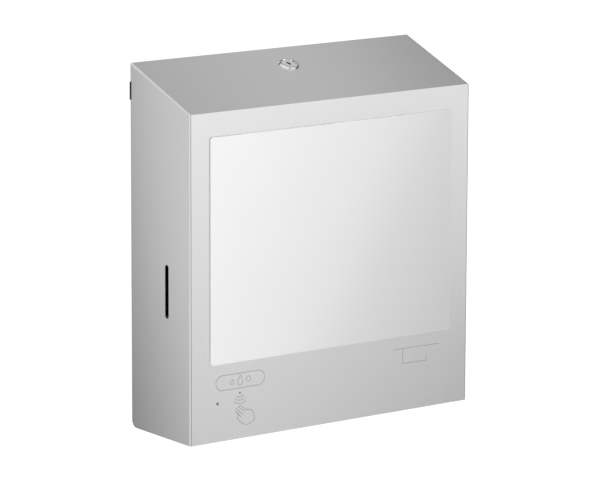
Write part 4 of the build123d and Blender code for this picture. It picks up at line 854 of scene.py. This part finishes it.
floor_mesh.from_pydata(corners, [], [(0, 1, 2, 3)])
floor = bpy.data.objects.new("floor", floor_mesh)
floor.data.materials.append(white_paper)
bpy.context.scene.collection.objects.link(floor)

# Cards: soft boxes and dark flats that only gloss can see. The mirror and the steel reflect them, and
# their ramps bring each face near the tones that it has in the photograph.


def glow_card(name, corners, strength, *ramps):
    """A card that only glossy rays meet. Its glow is the product of its ramps, each a direction and the
    (distance, grey) stops along it: up to three stops are joined by straight runs, more by a smooth curve."""
    material = bpy.data.materials.new(name)
    material.use_nodes = True
    tree = material.node_tree
    tree.nodes.clear()
    place = put(tree, "TexCoord")
    tone = None
    for axis, stops in ramps:
        along = put(tree, "VectorMath", {0: place.outputs["Object"], 1: axis}, operation="DOT_PRODUCT")
        first, last = stops[0][0], stops[-1][0]
        share = spread(tree, along.outputs["Value"], 0.0, 1.0, first, last)
        ramp = put(tree, "ValToRGB", {"Fac": share})
        ramp.color_ramp.interpolation = "B_SPLINE" if len(stops) > 3 else "LINEAR"
        elements = ramp.color_ramp.elements
        while len(elements) < len(stops):
            elements.new(0.5)
        for element, (distance, grey) in zip(elements, stops):
            element.position = (distance - first) / (last - first)
            element.color = (grey, grey, grey, 1)
        if tone is None:
            tone = ramp.outputs["Color"]
        else:
            product = put(tree, "VectorMath", {0: tone, 1: ramp.outputs["Color"]}, operation="MULTIPLY")
            tone = product.outputs[0]
    glow = put(tree, "Emission", {"Color": tone, "Strength": strength})
    out = put(tree, "OutputMaterial")
    tree.links.new(glow.outputs[0], out.inputs["Surface"])
    mesh = bpy.data.meshes.new(name)
    mesh.from_pydata(corners, [], [(0, 1, 2, 3)])
    card = bpy.data.objects.new(name, mesh)
    card.data.materials.append(material)
    bpy.context.scene.collection.objects.link(card)
    for ray in ("camera", "diffuse", "transmission", "volume_scatter", "shadow"):
        setattr(card, "visible_" + ray, False)


card_y = -1.5
card_low, card_high = -1.9, 0.3
ceiling = 1.0
along_x = (1.0, 0.0, 0.0)
along_y = (0.0, 1.0, 0.0)
along_z = (0.0, 0.0, 1.0)


def front_card(name, x_from, x_to, strength, *ramps):
    """An upright card in front of the object, from one x to another."""
    ends = ((x_from, card_low), (x_to, card_low), (x_to, card_high), (x_from, card_high))
    glow_card(name, [(x, card_y, z) for x, z in ends], strength, *ramps)


def ceiling_card(name, x_from, x_to, y_from, y_to, strength, *ramps):
    """A level card over the object."""
    ends = ((x_from, y_from), (x_to, y_from), (x_to, y_to), (x_from, y_to))
    glow_card(name, [(x, y, ceiling) for x, y in ends], strength, *ramps)


front_card(
    "middle_card",
    0.77,
    1.29,
    1.0,
    (
        (-0.55, 0.0, 0.29),
        [(-1.05, 0.51), (-0.84, 0.61), (-0.74, 0.73), (-0.67, 0.86), (-0.60, 0.89), (-0.50, 0.99), (0.2, 1.0)],
    ),
    (along_z, [(-0.8, 0.72), (-0.56, 1.0), (1.2, 1.0)]),
    (along_z, [(-0.14, 1.0), (0.06, 1.4), (0.3, 1.5)]),
)
front_card(
    "left_card",
    -1.6,
    0.77,
    1.2,
    (along_x, [(-1.6, 0.65), (-0.9, 0.8), (-0.45, 0.3), (0.0, 0.35), (0.4, 0.95), (0.77, 1.0)]),
    (along_z, [(-1.2, 0.40), (-0.65, 0.54), (-0.15, 0.96), (0.6, 1.0)]),
)
front_card(
    "right_card",
    1.29,
    3.6,
    1.3,
    (along_x, [(1.29, 0.95), (2.0, 0.85), (3.6, 0.6)]),
    (along_z, [(-1.2, 0.05), (-0.65, 0.24), (-0.45, 0.79), (-0.15, 0.74), (0.6, 0.98)]),
)
glow_card(
    "side_card",
    [(-1.1, 0.25, -0.9), (-0.24, 0.25, -0.9), (-0.24, 0.25, 0.5), (-1.1, 0.25, 0.5)],
    1.0,
    (
        (-1.0, 0.0, 0.25),
        [(0.1, 0.10), (0.26, 0.22), (0.34, 0.43), (0.40, 0.65), (0.47, 0.82), (0.7, 0.82), (1.2, 0.82)],
    ),
    ((-1.0, 0.0, 0.0), [(0.34, 0.78), (0.37, 0.90), (0.39, 1.06), (0.42, 1.09), (0.45, 1.04), (0.6, 0.83)]),
    (along_z, [(-0.3, 1.0), (-0.12, 1.02), (0.2, 0.88)]),
)
glow_card(
    "fold_card",
    [(-1.6, -1.2, -1.2), (-1.6, 0.22, -1.2), (-1.6, 0.22, 0.5), (-1.6, -1.2, 0.5)],
    1.25,
    (along_y, [(-1.2, 0.6), (-0.6, 1.0), (-0.35, 1.0), (-0.22, 0.5), (0.06, 0.5), (0.22, 1.0)]),
    (along_z, [(-1.0, 0.6), (-0.4, 1.0), (0.5, 0.9)]),
)
ceiling_card(
    "top_card",
    *(0.15, 2.6, -0.1, 2.2),
    1.0,
    (along_x, [(0.15, 0.25), (0.50, 0.49), (0.74, 0.62), (0.86, 0.60), (0.98, 0.37), (2.6, 0.13)]),
)
ceiling_card(
    "left_dark_card",
    *(-0.62, -0.15, -0.2, 0.95),
    1.0,
    (along_y, [(-0.2, 0.1), (0.15, 0.05), (0.25, 0.8), (0.5, 0.8), (0.6, 0.05), (0.95, 0.1)]),
)
ceiling_card(
    "grey_card",
    *(-0.3, 0.55, -1.4, -0.6),
    1.0,
    (along_x, [(-0.3, 0.5), (0.1, 0.75), (0.55, 0.6)]),
)
ceiling_card(
    "crease_card",
    *(0.55, 1.5, -1.4, -0.4),
    1.3,
    (along_y, [(-1.4, 0.1), (-1.15, 0.1), (-1.0, 0.9), (-0.9, 1.0), (-0.4, 1.0)]),
)
glow_card(
    "right_dark_card",
    [(1.9, -1.2, -0.9), (1.9, 1.4, -0.9), (1.9, 1.4, 1.9), (1.9, -1.2, 1.9)],
    1.0,
    (along_y, [(-1.2, 0.25), (-0.6, 0.1), (1.4, 0.25)]),
)

# Room: white to the camera, an even grey light to matt surfaces, and to gloss a white room that is darker
# on the far right, slightly darker behind and brighter overhead.
world = bpy.data.worlds.new("studio")
bpy.context.scene.world = world
world.use_nodes = True
tree = world.node_tree
tree.nodes.clear()
path = put(tree, "LightPath")
way = put(tree, "TexCoord")
parts = put(tree, "SeparateXYZ", {"Vector": way.outputs["Generated"]})
to_right = spread(tree, parts.outputs["X"], 0.0, 0.85, 0.62, 0.9)
overhead = spread(tree, parts.outputs["Z"], 0.0, 0.12, 0.08, 0.4)
behind = spread(tree, parts.outputs["Y"], 1.0, 0.85, -0.2, 0.6)
tone = maths(tree, "ADD", maths(tree, "SUBTRACT", behind, to_right), overhead)
room, even, white = (
    put(tree, "Background", {"Color": (1, 1, 1, 1), "Strength": strength}).outputs[0]
    for strength in (tone, 0.75, 1.0)
)
see_through = maths(tree, "MAXIMUM", path.outputs["Is Camera Ray"], path.outputs["Is Transmission Ray"])


def switch(choice, first, second):
    """The first light where the choice is 0, and the second where it is 1."""
    mix = put(tree, "MixShader", {0: choice})
    tree.links.new(first, mix.inputs[1])
    tree.links.new(second, mix.inputs[2])
    return mix.outputs[0]


shown = switch(see_through, switch(path.outputs["Is Glossy Ray"], even, room), white)
tree.links.new(shown, put(tree, "OutputWorld").inputs["Surface"])

# Lamps: two large square softboxes, the stronger one high on the left and the weaker one on the right.
# Gloss doesn't see them.


def soft_lamp(name, place, aim, size, power):
    """A square softbox of a power in watts at a place, turned to face aim."""
    data = bpy.data.lights.new(name, "AREA")
    data.shape = "SQUARE"
    data.size = size
    data.energy = power
    lamp = bpy.data.objects.new(name, data)
    lamp.location = place
    lamp.rotation_euler = (Vector(aim) - Vector(place)).to_track_quat("-Z", "Y").to_euler()
    lamp.visible_glossy = False
    bpy.context.scene.collection.objects.link(lamp)


soft_lamp("key_lamp", (-1.6, -2.4, 1.9), (0, 0, 0), 1.6, 32.0)
soft_lamp("fill_lamp", (2.2, -1.8, 0.6), (0, 0, 0), 1.8, 14.0)

# Camera: at the photograph's angle on a long lens, 4.70 m from the object's origin. It stands 36.3 degrees
# to the left and 11.1 up, with a very slight roll.
azimuth, elevation, roll = np.radians(-36.258), np.radians(11.114), 0.00347
camera_place = (-2.7037, -3.7429, 0.8600)
focal_length = 239.1
level = np.cos(elevation)
back = Vector((np.sin(azimuth) * level, -np.cos(azimuth) * level, np.sin(elevation)))
right = Vector((np.cos(azimuth), np.sin(azimuth), 0))
up = back.cross(right)
right, up = np.cos(roll) * right + np.sin(roll) * up, -np.sin(roll) * right + np.cos(roll) * up
camera_data = bpy.data.cameras.new("camera")
camera_data.lens = focal_length
camera = bpy.data.objects.new("camera", camera_data)
turn = Matrix((right, up, back)).transposed().to_4x4()
turn.translation = Vector(camera_place)
camera.matrix_world = turn
bpy.context.scene.collection.objects.link(camera)
bpy.context.scene.camera = camera
bpy.context.scene.view_settings.view_transform = "Standard"
